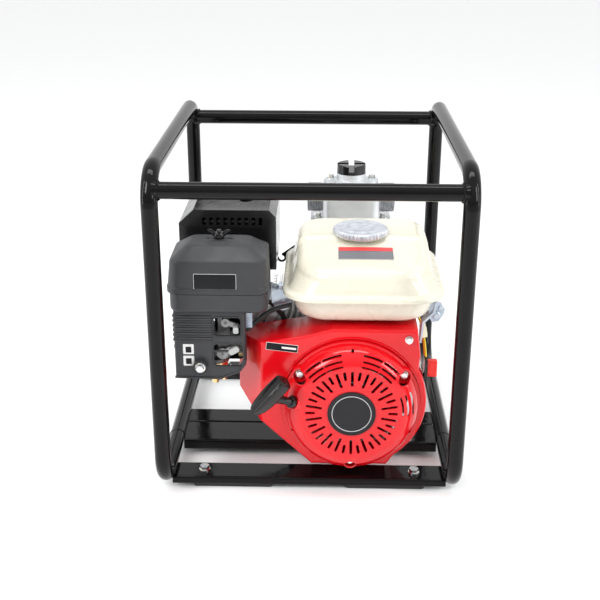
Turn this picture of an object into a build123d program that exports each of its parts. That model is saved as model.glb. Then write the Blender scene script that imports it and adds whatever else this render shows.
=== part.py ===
"""Petrol-engine water pump carried in a tubular frame.

X points to the viewer's right, Y from the recoil starter towards the pump, Z up.
The origin is on the ground, at the centre of the frame's footprint. Millimetres.
"""
import math
import os

from build123d import *

os.makedirs("parts", exist_ok=True)

# ---------------------------------------------------------------- driving dimensions
# Carrying frame: two closed hoops of round tube joined by two cross bars
TUBE_R = 11.0
TUBE_WALL = 1.8
HOOP_X = 200.0
HOOP_Y = 226.85
HOOP_BOTTOM_Z = 27.0
HOOP_TOP_Z = 468.5
HOOP_BEND_R = 42.0
SEAM_Y = -91.0
CROSS_BAR_Y = 221.0
CROSS_BAR_Z = 446.5

# Pressed-steel channels welded between the bottom rails
CHANNEL_END_X = 194.0
CHANNEL_WALL = 2.5
END_CHANNEL_TOP = 18.0
END_CHANNEL_DEPTH = 12.0
END_CHANNEL_NEAR = 151.0
END_CHANNEL_FAR = 193.0
ENGINE_CHANNEL_TOP = 26.5
ENGINE_CHANNEL_DEPTH = 17.0
ENGINE_CHANNELS_Y = ((-102.0, -45.3), (-44.7, -2.0))

# Rubber feet and the bolts through them
FOOT_X = (-150.0, 150.0)
FOOT_Y = 172.0
FOOT_SIZE = (112.0, 34.0)
FOOT_CENTRE_X = 108.0

# Engine: the crank axis runs along Y, the cylinder leans back to the left
CRANK_X = 58.0
CRANK_Z = 129.5
CYLINDER_TILT = 25.0
CYLINDER_Y = -37.0
CASE_FRONT_Y = -100.0
CASE_REAR_Y = 25.0
COVER_REAR_Y = 55.0
BORE_R = 35.05
PISTON_R = 35.0
STROKE = 54.0
THROW = STROKE / 2
DECK = 141.0
HEAD_TOP = 171.0
SHAFT_R = 12.45
SHAFT_TIP_R = 10.0
BEARING_R = 26.0
BEARING_HOLE_R = 12.5
CAVITY_R = 48.0

# Cooling shroud and recoil starter
FAN_FRONT_Y = -172.0
FAN_REAR_Y = -102.0
FAN_R = 105.0
FAN_BOTTOM_Z = 29.5
SHEET = 2.0
RECOIL_R = 96.0
RECOIL_FACE_Y = -206.0
BADGE_R = 33.0
RECOIL_BOLT_R = 86.0
ROPE_EXIT = (-21.0, -202.0, 143.0)
PULL_DIRECTION = (-0.78, -0.50, 0.48)
GRIP_DIRECTION = (0.60, -0.13, 0.79)

# Air cleaner, muffler and tank
CLEANER_X = (-188.0, -56.0)
CLEANER_Y = (-190.0, -94.0)
CLEANER_TOP = 356.5
CLEANER_BOTTOM = 267.5
GUARD_X = (-188.0, -50.0)
GUARD_Y = (-66.0, 60.0)
GUARD_TOP = 374.5
GUARD_BOTTOM = 286.0
TANK_X = (-38.0, 183.0)
TANK_Y = (-184.0, 42.0)
TANK_LIP_Z = 286.5
TANK_BOTTOM_Z = 245.0
TANK_TOP_Z = 342.0
CAP_CENTRE = (69.5, -62.0)
CAP_R = 39.0

# Pump
PUMP_X = 60.8
CASING_R = 100.0
CASING_FRONT_Y = 95.0
CASING_REAR_Y = 195.0
CASING_WALL = 7.0
MANIFOLD_Y = 158.0
MANIFOLD_BASE_Z = 290.0
MANIFOLD_FLANGE = 7.0
MANIFOLD_TOP_Z = 353.5
SIDE_PORT_Z = 330.6
SIDE_PORT_R = 23.9
MAIN_PORT_R = 29.8


def front_plane(y):
    """A plane facing the viewer at this Y: local x is X and local y is Z."""
    return Plane.XZ.offset(-y)


def crank_plane(y):
    """As front_plane, with its origin on the crank axis."""
    return Plane(origin=(CRANK_X, y, CRANK_Z), x_dir=(1, 0, 0), z_dir=(0, -1, 0))


def cylinder_plane(distance):
    """A plane square to the cylinder at a distance from the crank axis: local x is -Y, local y is up."""
    tilt = math.radians(CYLINDER_TILT)
    out = (-math.cos(tilt), 0, math.sin(tilt))
    centre = (CRANK_X + out[0] * distance, CYLINDER_Y, CRANK_Z + out[2] * distance)
    return Plane(origin=centre, x_dir=(0, -1, 0), z_dir=out)


def hex_flange_bolt(plane, flats, head, shank_r, shank):
    """Adds a bolt to the open part: flange and hex head above the plane, shank below it."""
    with BuildSketch(plane) as flange:
        Circle(flats * 0.68)
    extrude(flange.sketch, amount=1.6)
    with BuildSketch(plane.offset(1.6)) as hexagon:
        RegularPolygon(flats / 2, 6, major_radius=False)
    extrude(hexagon.sketch, amount=head)
    with BuildSketch(plane) as rod:
        Circle(shank_r)
    extrude(rod.sketch, amount=-shank)


def hoop_solid(x, radius):
    """A side hoop's loop swept with a round section of this radius."""
    with BuildPart() as hoop:
        with BuildLine(Plane.YZ.offset(x)) as loop:
            FilletPolyline(
                (-HOOP_Y, HOOP_BOTTOM_Z),
                (-HOOP_Y, HOOP_TOP_Z),
                (HOOP_Y, HOOP_TOP_Z),
                (HOOP_Y, HOOP_BOTTOM_Z),
                radius=HOOP_BEND_R,
                close=True,
            )
        path = loop.wires()[0]
        with BuildSketch(Plane(origin=path @ 0, z_dir=path % 0)):
            Circle(radius)
        sweep()
    return hoop.part


def seam_bead(x):
    """The weld bead round a hoop's bottom rail, where the loop of tube is closed."""
    with BuildPart() as bead:
        with Locations(Location((x, SEAM_Y, HOOP_BOTTOM_Z), (90, 0, 0))):
            Torus(TUBE_R - 0.3, 1.2)
    return bead.part


# ---------------------------------------------------------------- carrying frame
LEFT_HOOP = hoop_solid(-HOOP_X, TUBE_R)
RIGHT_HOOP = hoop_solid(HOOP_X, TUBE_R)

with BuildPart() as frame_hoop_left:
    add(LEFT_HOOP)
    add(hoop_solid(-HOOP_X, TUBE_R - TUBE_WALL), mode=Mode.SUBTRACT)
    add(seam_bead(-HOOP_X))
frame_hoop_left.part.label = "frame_hoop_left"
export_step(frame_hoop_left.part, "parts/frame_hoop_left.step")

with BuildPart() as frame_hoop_right:
    add(RIGHT_HOOP)
    add(hoop_solid(HOOP_X, TUBE_R - TUBE_WALL), mode=Mode.SUBTRACT)
    add(seam_bead(HOOP_X))
frame_hoop_right.part.label = "frame_hoop_right"
export_step(frame_hoop_right.part, "parts/frame_hoop_right.step")


def cross_bar(y):
    """A bar coped to both hoops, with a weld bead at each end."""
    bead_r = TUBE_R + 2.2
    with BuildPart() as bar:
        with BuildSketch(Plane.YZ.offset(-HOOP_X)):
            with Locations((y, CROSS_BAR_Z)):
                Circle(TUBE_R)
        extrude(amount=2 * HOOP_X)
        for side in (-1, 1):
            bead_plane = Plane(origin=(side * (HOOP_X - 4), y, CROSS_BAR_Z), z_dir=(-side, 0, 0))
            with BuildSketch(bead_plane):
                Circle(bead_r)
            extrude(amount=10, taper=18)
        with BuildSketch(Plane.YZ.offset(-HOOP_X)):
            with Locations((y, CROSS_BAR_Z)):
                Circle(TUBE_R - TUBE_WALL)
        extrude(amount=2 * HOOP_X, mode=Mode.SUBTRACT)
        add(LEFT_HOOP, mode=Mode.SUBTRACT)
        add(RIGHT_HOOP, mode=Mode.SUBTRACT)
    return bar.part.solids().sort_by(SortBy.VOLUME)[-1]


with BuildPart() as frame_cross_bar_front:
    add(cross_bar(-CROSS_BAR_Y))
frame_cross_bar_front.part.label = "frame_cross_bar_front"
export_step(frame_cross_bar_front.part, "parts/frame_cross_bar_front.step")

with BuildPart() as frame_cross_bar_rear:
    add(cross_bar(CROSS_BAR_Y))
frame_cross_bar_rear.part.label = "frame_cross_bar_rear"
export_step(frame_cross_bar_rear.part, "parts/frame_cross_bar_rear.step")


def channel(low_y, high_y, top_z, depth, end_x=CHANNEL_END_X):
    """A channel open downwards that runs between the bottom rails, coped to both where it reaches them."""
    width = high_y - low_y
    with BuildPart() as bar:
        with BuildSketch(Plane.YZ.offset(-end_x)) as section:
            with Locations(((low_y + high_y) / 2, top_z - depth / 2)):
                Rectangle(width, depth)
            fillet(section.vertices().group_by(Axis.Z)[-1], 3.5)
            with Locations(((low_y + high_y) / 2, top_z - CHANNEL_WALL - depth / 2)):
                Rectangle(width - 2 * CHANNEL_WALL, depth, mode=Mode.SUBTRACT)
        extrude(amount=2 * end_x)
        if end_x > HOOP_X - TUBE_R:
            add(LEFT_HOOP, mode=Mode.SUBTRACT)
            add(RIGHT_HOOP, mode=Mode.SUBTRACT)
    return bar.part


with BuildPart() as end_channels:
    add(channel(-END_CHANNEL_FAR, -END_CHANNEL_NEAR, END_CHANNEL_TOP, END_CHANNEL_DEPTH))
    add(channel(END_CHANNEL_NEAR, END_CHANNEL_FAR, END_CHANNEL_TOP, END_CHANNEL_DEPTH))
    with Locations(*[(x, side * FOOT_Y, END_CHANNEL_TOP) for x in FOOT_X for side in (-1, 1)]):
        Hole(4.5)
    with Locations(*[(x, FOOT_Y, END_CHANNEL_TOP) for x in (CRANK_X - 50, CRANK_X + 50)]):
        Hole(4.5)
end_channels.part.label = "end_channels"
export_step(end_channels.part, "parts/end_channels.step")

MOUNT_X = (CRANK_X - 81.0, CRANK_X + 81.0)
MOUNT_Y = (-88.0, -14.0)

with BuildPart() as engine_channels:
    for low_y, high_y in ENGINE_CHANNELS_Y:
        add(channel(low_y, high_y, ENGINE_CHANNEL_TOP, ENGINE_CHANNEL_DEPTH, HOOP_X - TUBE_R))
    with Locations(*[(x, y, ENGINE_CHANNEL_TOP) for x in MOUNT_X for y in MOUNT_Y]):
        Hole(4.5)
    add(seam_bead(-HOOP_X), mode=Mode.SUBTRACT)
    add(seam_bead(HOOP_X), mode=Mode.SUBTRACT)
engine_channels.part.label = "engine_channels"
export_step(engine_channels.part, "parts/engine_channels.step")

with BuildPart() as rubber_feet:
    foot_centres = [(sx * FOOT_CENTRE_X, sy * FOOT_Y) for sx in (-1, 1) for sy in (-1, 1)]
    with BuildSketch(Plane.XY):
        with Locations(*foot_centres):
            RectangleRounded(*FOOT_SIZE, 4)
    extrude(amount=END_CHANNEL_TOP - CHANNEL_WALL)
    chamfer(rubber_feet.faces().sort_by(Axis.Z)[:4].edges(), 1)
    with Locations(*[(x, side * FOOT_Y, 0) for x in FOOT_X for side in (-1, 1)]):
        Cylinder(4.3, 60, mode=Mode.SUBTRACT)
        Cylinder(8.7, 18, mode=Mode.SUBTRACT)
rubber_feet.part.label = "rubber_feet"
export_step(rubber_feet.part, "parts/rubber_feet.step")

with BuildPart() as frame_bolts:
    for x in FOOT_X:
        for side in (-1, 1):
            hex_flange_bolt(Plane(origin=(x, side * FOOT_Y, END_CHANNEL_TOP)), 12, 5, 4, 15)
            with BuildSketch(Plane(origin=(x, side * FOOT_Y, 2.5))):
                RegularPolygon(6.5, 6, major_radius=False)
            extrude(amount=6)
    for x in MOUNT_X:
        for y in MOUNT_Y:
            hex_flange_bolt(Plane(origin=(x, y, 36.5)), 12, 5, 4, 22)
    for x in (CRANK_X - 50, CRANK_X + 50):
        hex_flange_bolt(Plane(origin=(x, FOOT_Y, 26)), 12, 5, 4, 10)
frame_bolts.part.label = "frame_bolts"
export_step(frame_bolts.part, "parts/frame_bolts.step")

# ---------------------------------------------------------------- engine block
with BuildPart() as crankcase:
    # Base flange that rests on the two engine channels
    with BuildSketch(Plane.XY.offset(ENGINE_CHANNEL_TOP)):
        with Locations((CRANK_X, (CASE_FRONT_Y - 2) / 2)):
            RectangleRounded(190, -CASE_FRONT_Y - 2, 8)
    extrude(amount=10)
    # Crank chamber and sump
    with BuildSketch(front_plane(CASE_FRONT_Y)):
        with Locations((CRANK_X, 118)):
            RectangleRounded(136, 163, 26)
    extrude(amount=CASE_FRONT_Y - CASE_REAR_Y)
    # Cylinder barrel and its cooling fins
    with BuildSketch(cylinder_plane(40)):
        Circle(44)
    extrude(amount=DECK - 40)
    for step in range(8):
        with BuildSketch(cylinder_plane(76 + 8 * step)):
            RectangleRounded(104, 104, 16)
        extrude(amount=2.6)
    with BuildSketch(cylinder_plane(DECK - 5)):
        RectangleRounded(104, 104, 16)
    extrude(amount=5)
    # Oil filler boss on the left wall
    with BuildSketch(Plane(origin=(-8, -62, 72), z_dir=(-1, 0, 0.35))):
        Circle(15)
    extrude(amount=12)
    # Machined spaces
    with BuildSketch(crank_plane(-86)):
        Circle(CAVITY_R)
    extrude(amount=-(CASE_REAR_Y + 86), mode=Mode.SUBTRACT)
    with BuildSketch(cylinder_plane(0)):
        Circle(BORE_R)
    extrude(amount=DECK, mode=Mode.SUBTRACT)
    with BuildSketch(crank_plane(CASE_FRONT_Y)):
        Circle(BEARING_R)
    extrude(amount=-16, mode=Mode.SUBTRACT)
    with BuildSketch(Plane(origin=(-8, -62, 72), z_dir=(-1, 0, 0.35))):
        Circle(9)
    extrude(amount=20, both=True, mode=Mode.SUBTRACT)
    with Locations(*[(x, y, 36.5) for x in MOUNT_X for y in MOUNT_Y]):
        Hole(4.5, depth=12)
crankcase.part.label = "crankcase"
export_step(crankcase.part, "parts/crankcase.step")

with BuildPart() as crankcase_cover:
    with BuildSketch(crank_plane(CASE_REAR_Y)):
        with Locations((0, -11.5)):
            RectangleRounded(136, 163, 26)
    extrude(amount=-12)
    with BuildSketch(crank_plane(CASE_REAR_Y + 12)):
        Circle(60)
    extrude(amount=-(COVER_REAR_Y - CASE_REAR_Y - 12), taper=6)
    with BuildSketch(crank_plane(CASE_REAR_Y)):
        Circle(BEARING_R)
    extrude(amount=-15, mode=Mode.SUBTRACT)
    with BuildSketch(crank_plane(CASE_REAR_Y)):
        Circle(SHAFT_R + 0.6)
    extrude(amount=-60, mode=Mode.SUBTRACT)
crankcase_cover.part.label = "crankcase_cover"
export_step(crankcase_cover.part, "parts/crankcase_cover.step")

with BuildPart() as crank_bearings:
    for y in (CASE_FRONT_Y, CASE_REAR_Y):
        with BuildSketch(crank_plane(y)):
            Circle(BEARING_R)
            Circle(BEARING_HOLE_R, mode=Mode.SUBTRACT)
        extrude(amount=-14)
        with BuildSketch(crank_plane(y)):
            Circle(21.5)
            Circle(17, mode=Mode.SUBTRACT)
        extrude(amount=-1.2, mode=Mode.SUBTRACT)
crank_bearings.part.label = "crank_bearings"
export_step(crank_bearings.part, "parts/crank_bearings.step")

PLUG_LOCAL = (38.0, 6.0)

with BuildPart() as cylinder_head:
    with BuildSketch(cylinder_plane(DECK)):
        RectangleRounded(104, 104, 16)
    extrude(amount=7)
    with BuildSketch(cylinder_plane(DECK)):
        RectangleRounded(84, 80, 12)
    extrude(amount=HEAD_TOP - DECK)
    for step in range(3):
        with BuildSketch(cylinder_plane(DECK + 11 + 7 * step)):
            RectangleRounded(104, 104, 16)
        extrude(amount=2.6)
    with BuildSketch(cylinder_plane(DECK)):
        Circle(33)
    extrude(amount=9, mode=Mode.SUBTRACT)
    with BuildSketch(cylinder_plane(HEAD_TOP)):
        with Locations(PLUG_LOCAL):
            Circle(13)
    extrude(amount=-12, mode=Mode.SUBTRACT)
    with BuildSketch(cylinder_plane(HEAD_TOP)):
        with Locations(PLUG_LOCAL):
            Circle(7)
    extrude(amount=-40, mode=Mode.SUBTRACT)
cylinder_head.part.label = "cylinder_head"
export_step(cylinder_head.part, "parts/cylinder_head.step")

with BuildPart() as valve_cover:
    with BuildSketch(cylinder_plane(HEAD_TOP)):
        with Locations((-12, 0)):
            RectangleRounded(74, 78, 14)
    extrude(amount=3)
    with BuildSketch(cylinder_plane(HEAD_TOP + 3)):
        with Locations((-12, 0)):
            RectangleRounded(62, 66, 14)
    extrude(amount=24)
    fillet(valve_cover.edges().filter_by_position(Axis.X, -190, -100).group_by(Axis.X)[0], 6)
    with BuildSketch(cylinder_plane(HEAD_TOP)):
        with Locations((-12, 0)):
            RectangleRounded(58, 62, 12)
    extrude(amount=24, mode=Mode.SUBTRACT)
valve_cover.part.label = "valve_cover"
export_step(valve_cover.part, "parts/valve_cover.step")

PLUG_PLANE = cylinder_plane(HEAD_TOP - 12)

with BuildPart() as spark_plug:
    for low, high, radius in ((-18, 0, 6.9), (3, 12, 11), (12, 34, 5.2), (34, 42, 3.2)):
        with BuildSketch(PLUG_PLANE.offset(low)):
            with Locations(PLUG_LOCAL):
                Circle(radius)
        extrude(amount=high - low)
    with BuildSketch(PLUG_PLANE):
        with Locations(PLUG_LOCAL):
            RegularPolygon(10.4, 6, major_radius=False)
    extrude(amount=10)
spark_plug.part.label = "spark_plug"
export_step(spark_plug.part, "parts/spark_plug.step")

with BuildPart() as spark_plug_cap:
    with BuildSketch(PLUG_PLANE.offset(15)):
        with Locations(PLUG_LOCAL):
            Circle(9.5)
    extrude(amount=44)
    fillet(spark_plug_cap.edges().group_by(Axis.X)[0], 3)
    with BuildSketch(PLUG_PLANE.offset(15)):
        with Locations(PLUG_LOCAL):
            Circle(5.4)
    extrude(amount=30, mode=Mode.SUBTRACT)
    LEAD_START = (PLUG_PLANE.offset(50) * Location((PLUG_LOCAL[0], PLUG_LOCAL[1], 0))).position
    with BuildSketch(Plane(origin=LEAD_START, z_dir=(0.25, -0.6, 0.75))):
        Circle(6.5)
    extrude(amount=17)
spark_plug_cap.part.label = "spark_plug_cap"
export_step(spark_plug_cap.part, "parts/spark_plug_cap.step")

LEAD_R = 3.5
LEAD_DIRECTION = Vector(0.25, -0.6, 0.75).normalized()
LEAD_FIRST = LEAD_START + LEAD_DIRECTION * 17

with BuildPart() as ignition_lead:
    with BuildLine() as lead_route:
        FilletPolyline(
            LEAD_FIRST,
            LEAD_FIRST + LEAD_DIRECTION * 18,
            (-88, -98, 257),
            (-56, -97, 248),
            (-38, -96.5, 226),
            (-36, -96.5, 208),
            radius=12,
        )
    with BuildSketch(Plane(origin=lead_route.wires()[0] @ 0, z_dir=lead_route.wires()[0] % 0)):
        Circle(LEAD_R)
    sweep(path=lead_route.wires()[0])
ignition_lead.part.label = "ignition_lead"
export_step(ignition_lead.part, "parts/ignition_lead.step")

# ---------------------------------------------------------------- turning parts
CRANK_AXIS = Axis((CRANK_X, 0, CRANK_Z), (0, 1, 0))
TILT = math.radians(CYLINDER_TILT)
PIN_LOCAL = (-THROW * math.cos(TILT), THROW * math.sin(TILT))

with BuildPart() as crankshaft:
    # Journals and tapered ends as (start Y, end Y, radius)
    journals = ((-176, -118, SHAFT_TIP_R), (-118, -64, SHAFT_R), (-10, 50, SHAFT_R), (50, 124, SHAFT_TIP_R))
    for start, end, radius in journals:
        with BuildSketch(crank_plane(start)):
            Circle(radius)
        extrude(amount=start - end)
    # Two webs with counterweights
    for start in (-64, -26):
        with BuildSketch(crank_plane(start)):
            with Locations(PIN_LOCAL):
                Circle(16.5)
            Circle(19)
            with Locations(Location((0, 0, 0), (0, 0, 180 - CYLINDER_TILT))):
                Rectangle(30, 33, align=(Align.MIN, Align.CENTER))
            with Locations(Location((0, 0, 0), (0, 0, -CYLINDER_TILT))):
                Rectangle(32, 52, align=(Align.MIN, Align.CENTER))
        extrude(amount=-16)
    with BuildSketch(crank_plane(-50)):
        with Locations(PIN_LOCAL):
            Circle(15)
    extrude(amount=-30)
crankshaft.part.label = "crankshaft"
export_step(crankshaft.part, "parts/crankshaft.step")

with BuildPart() as piston:
    with BuildSketch(cylinder_plane(DECK - 40.5)):
        Circle(PISTON_R)
    extrude(amount=39)
    with BuildSketch(cylinder_plane(DECK - 40.5)):
        Circle(PISTON_R - 4.5)
    extrude(amount=31, mode=Mode.SUBTRACT)
    # Three ring grooves
    for height in (26.5, 30.5, 34.5):
        with BuildSketch(cylinder_plane(DECK - 40.5 + height)):
            Circle(PISTON_R + 1)
            Circle(PISTON_R - 1.2, mode=Mode.SUBTRACT)
        extrude(amount=1.6, mode=Mode.SUBTRACT)
    # Gudgeon pin across the skirt
    with BuildSketch(Plane(origin=cylinder_plane(DECK - 24).origin, z_dir=(0, 1, 0))):
        Circle(9)
    extrude(amount=PISTON_R - 2, both=True)
piston.part.label = "piston"
export_step(piston.part, "parts/piston.step")

with BuildPart() as flywheel:
    with BuildSketch(crank_plane(-132)):
        Circle(84)
    extrude(amount=-10)
    with BuildSketch(crank_plane(-132)):
        Circle(84)
        Circle(72, mode=Mode.SUBTRACT)
    extrude(amount=-22)
    with BuildSketch(crank_plane(-156)):
        Circle(24)
    extrude(amount=-36)
    # Fan blades cast on the front face
    with BuildSketch(crank_plane(-154)):
        with PolarLocations(64, 20):
            Rectangle(34, 3)
    extrude(amount=-24)
    with BuildSketch(crank_plane(-160)):
        Circle(SHAFT_TIP_R)
    extrude(amount=-60, mode=Mode.SUBTRACT)
flywheel.part.label = "flywheel"
export_step(flywheel.part, "parts/flywheel.step")

with BuildPart() as starter_cup:
    with BuildSketch(crank_plane(-176)):
        Circle(42)
        Circle(40, mode=Mode.SUBTRACT)
        with PolarLocations(41, 6):
            Rectangle(6, 10, mode=Mode.SUBTRACT)
    extrude(amount=-16)
    with BuildSketch(crank_plane(-160)):
        Circle(42)
        Circle(SHAFT_TIP_R, mode=Mode.SUBTRACT)
    extrude(amount=-4)
starter_cup.part.label = "starter_cup"
export_step(starter_cup.part, "parts/starter_cup.step")

# ---------------------------------------------------------------- cooling shroud
# Left lower edge, left top and right shoulder of the shroud's outline, as (X, Z)
SHROUD_OUTLINE = [
    (3, FAN_BOTTOM_Z),
    (110, FAN_BOTTOM_Z),
    (140, 75),
    (152, 200),
    (147, 239),
    (30, 239),
    (-13, 228),
    (-66, 219),
    (-101, 214),
    (-101, 128),
    (-70, 99),
]


def shroud_solid(inset, rear_y):
    """The shroud's outer form, or its inner one when inset by the sheet's thickness."""
    with BuildPart() as body:
        with BuildSketch(front_plane(FAN_FRONT_Y + inset)):
            with BuildLine():
                Polyline(*SHROUD_OUTLINE, close=True)
            make_face()
            with Locations((CRANK_X, CRANK_Z)):
                Circle(FAN_R)
            if inset:
                offset(amount=-inset, kind=Kind.INTERSECTION)
        extrude(amount=FAN_FRONT_Y + inset - rear_y)
        # The left end slants back from the front face
        with BuildSketch(Plane.XY):
            with BuildLine():
                Polyline(
                    (-66 + inset * 0.9, FAN_FRONT_Y - 1),
                    (-102 + inset * 0.9, FAN_FRONT_Y + 52),
                    (-120, FAN_FRONT_Y + 52),
                    (-120, FAN_FRONT_Y - 1),
                    close=True,
                )
            make_face()
        extrude(amount=260, mode=Mode.SUBTRACT)
        if not inset:
            front = body.faces().sort_by(Axis.Y)[0]
            fillet(front.edges(), 4)
    return body.part


with BuildPart() as fan_housing:
    add(shroud_solid(0, FAN_REAR_Y))
    add(shroud_solid(SHEET, FAN_REAR_Y + 10), mode=Mode.SUBTRACT)
    with BuildSketch(crank_plane(FAN_FRONT_Y - 5)):
        Circle(86)
    extrude(amount=-20, mode=Mode.SUBTRACT)
fan_housing.part.label = "fan_housing"
export_step(fan_housing.part, "parts/fan_housing.step")

RECOIL_BOLT_ANGLES = (34, 146, 270)

with BuildPart() as recoil_housing:
    with BuildSketch(Plane(origin=(CRANK_X, 0, CRANK_Z), x_dir=(1, 0, 0), z_dir=(0, 0, 1))):
        with BuildLine():
            Polyline((0, RECOIL_FACE_Y), (68, RECOIL_FACE_Y))
            ThreePointArc((68, RECOIL_FACE_Y), (84.5, -198.5), (92.5, -181))
            Polyline((92.5, -181), (RECOIL_R, -181), (RECOIL_R, FAN_FRONT_Y), (88, FAN_FRONT_Y), (88, -177), (90, -181))
            ThreePointArc((90, -181), (82.5, -196.5), (67.5, RECOIL_FACE_Y + 2.4))
            Polyline((67.5, RECOIL_FACE_Y + 2.4), (0, RECOIL_FACE_Y + 2.4), (0, RECOIL_FACE_Y))
        make_face()
    revolve(axis=CRANK_AXIS)
    # Bolt pockets
    with BuildSketch(crank_plane(FAN_FRONT_Y)):
        for angle in RECOIL_BOLT_ANGLES:
            with PolarLocations(RECOIL_BOLT_R, 1, angle):
                Circle(11)
    extrude(amount=15)
    with BuildSketch(crank_plane(-180)):
        for angle in RECOIL_BOLT_ANGLES:
            with PolarLocations(RECOIL_BOLT_R, 1, angle):
                Circle(8.7)
    extrude(amount=40, mode=Mode.SUBTRACT)
    with BuildSketch(crank_plane(FAN_FRONT_Y)):
        for angle in RECOIL_BOLT_ANGLES:
            with PolarLocations(RECOIL_BOLT_R, 1, angle):
                Circle(3.2)
    extrude(amount=20, mode=Mode.SUBTRACT)
    # Cooling slots: radial ones in the disc, curved ones in the upper shoulder
    with BuildSketch(crank_plane(RECOIL_FACE_Y - 2)):
        with PolarLocations(52.2, 18, 10):
            SlotOverall(22.5, 3.8)
        with PolarLocations(56.5, 18, 0):
            SlotOverall(13.5, 3.8)
    extrude(amount=-6, mode=Mode.SUBTRACT)
    with BuildSketch(crank_plane(RECOIL_FACE_Y - 2)):
        for radius in (70.5, 77.5, 84.5):
            for start in (42, 62, 101, 121):
                SlotArc(Edge.make_circle(radius, start_angle=start, end_angle=start + 17), 3.0)
            SlotArc(Edge.make_circle(radius, start_angle=-2, end_angle=20), 2.4)
    extrude(amount=-28, mode=Mode.SUBTRACT)
    with BuildSketch(crank_plane(RECOIL_FACE_Y - 2)):
        for angle in (90, 202, -22):
            with PolarLocations(88, 1, angle):
                Circle(2.2)
    extrude(amount=-60, mode=Mode.SUBTRACT)
    # Rope guide, and the post that carries the reel
    guide = Plane(origin=ROPE_EXIT, z_dir=PULL_DIRECTION)
    with BuildSketch(guide):
        Circle(9)
    extrude(amount=-14)
    with BuildSketch(guide):
        Circle(9.5)
    extrude(amount=20, mode=Mode.SUBTRACT)
    with BuildSketch(guide):
        Circle(3.4)
    extrude(amount=-24, mode=Mode.SUBTRACT)
    with BuildSketch(crank_plane(RECOIL_FACE_Y + 2)):
        Circle(8)
    extrude(amount=-22)
recoil_housing.part.label = "recoil_housing"
export_step(recoil_housing.part, "parts/recoil_housing.step")

with BuildPart() as recoil_badge:
    with BuildSketch(crank_plane(RECOIL_FACE_Y)):
        Circle(BADGE_R)
    extrude(amount=1.6)
    chamfer(recoil_badge.edges().group_by(Axis.Y)[0], 0.6)
recoil_badge.part.label = "recoil_badge"
export_step(recoil_badge.part, "parts/recoil_badge.step")

with BuildPart() as housing_bolts:
    for angle in RECOIL_BOLT_ANGLES:
        offset_x = RECOIL_BOLT_R * math.cos(math.radians(angle))
        offset_z = RECOIL_BOLT_R * math.sin(math.radians(angle))
        seat = Plane(origin=(CRANK_X + offset_x, -180, CRANK_Z + offset_z), z_dir=(0, -1, 0))
        hex_flange_bolt(seat, 8, 4.5, 3, 7.5)
    hex_flange_bolt(Plane(origin=(135, FAN_FRONT_Y - 0.1, 226), z_dir=(0, -1, 0)), 8, 4.5, 3, 0.1)
    hex_flange_bolt(Plane(origin=(-149, -189, 188), z_dir=(0, -1, 0)), 8, 4.5, 3, 4)
housing_bolts.part.label = "housing_bolts"
export_step(housing_bolts.part, "parts/housing_bolts.step")

with BuildPart() as rope_reel:
    with BuildSketch(crank_plane(-201)):
        Circle(46)
    extrude(amount=-3)
    with BuildSketch(crank_plane(-201)):
        Circle(34)
    extrude(amount=-18)
    with BuildSketch(crank_plane(-186)):
        Circle(46)
    extrude(amount=-3)
    with BuildSketch(crank_plane(-202)):
        Circle(8.06)
    extrude(amount=-30, mode=Mode.SUBTRACT)
rope_reel.part.label = "rope_reel"
export_step(rope_reel.part, "parts/rope_reel.step")

PULL = Vector(*PULL_DIRECTION).normalized()
GRIP = Vector(*GRIP_DIRECTION).normalized()
GRIP_CENTRE = Vector(*ROPE_EXIT) + PULL * 43
GRIP_LENGTH = 66.0

with BuildPart() as pull_handle:
    stem = Plane(origin=Vector(*ROPE_EXIT) + PULL * 0.5, z_dir=PULL)
    with BuildSketch(stem):
        Circle(8.2)
    extrude(amount=6)
    with BuildSketch(stem.offset(6)):
        Circle(7)
    extrude(amount=32)
    bar = Plane(origin=GRIP_CENTRE, x_dir=PULL, z_dir=GRIP)
    with BuildSketch(bar.offset(-GRIP_LENGTH / 2)):
        RectangleRounded(10, 13, 4)
    with BuildSketch(bar):
        RectangleRounded(22, 20, 4)
    with BuildSketch(bar.offset(GRIP_LENGTH / 2)):
        RectangleRounded(14, 15, 4)
    loft()
pull_handle.part.label = "pull_handle"
export_step(pull_handle.part, "parts/pull_handle.step")

# ---------------------------------------------------------------- carburettor and its levers
CARB_CENTRE = (-128.0, -132.0, 205.0)
BOWL_CENTRE = (-134.0, -140.0)

with BuildPart() as carburettor:
    with Locations(CARB_CENTRE):
        Box(40, 44, 38)
    fillet(carburettor.edges().filter_by(Axis.Z), 5)
    # Throat through the body, towards the cylinder head
    with BuildSketch(front_plane(-110)):
        with Locations((-118, 212)):
            Circle(17)
    extrude(amount=-20)
    with BuildSketch(front_plane(-154)):
        with Locations((-128, 210)):
            Circle(19)
    extrude(amount=4)
    with BuildSketch(front_plane(-170)):
        with Locations((-128, 210)):
            Circle(11)
    extrude(amount=-40, mode=Mode.SUBTRACT)
    with BuildSketch(Plane(origin=(*BOWL_CENTRE, 186), z_dir=(0, 0, -1))):
        Circle(21)
    extrude(amount=6)
carburettor.part.label = "carburettor"
export_step(carburettor.part, "parts/carburettor.step")

with BuildPart() as float_bowl:
    with BuildSketch(Plane(origin=(*BOWL_CENTRE, 180), z_dir=(0, 0, -1))):
        Circle(20)
    extrude(amount=20)
    fillet(float_bowl.edges().group_by(Axis.Z)[0], 5)
    with BuildSketch(Plane(origin=(*BOWL_CENTRE, 180), z_dir=(0, 0, -1))):
        Circle(18.6)
    extrude(amount=16, mode=Mode.SUBTRACT)
    with BuildSketch(Plane(origin=(*BOWL_CENTRE, 160.5), z_dir=(0, 0, -1))):
        RegularPolygon(5, 6, major_radius=False)
    extrude(amount=6)
float_bowl.part.label = "float_bowl"
export_step(float_bowl.part, "parts/float_bowl.step")

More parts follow.
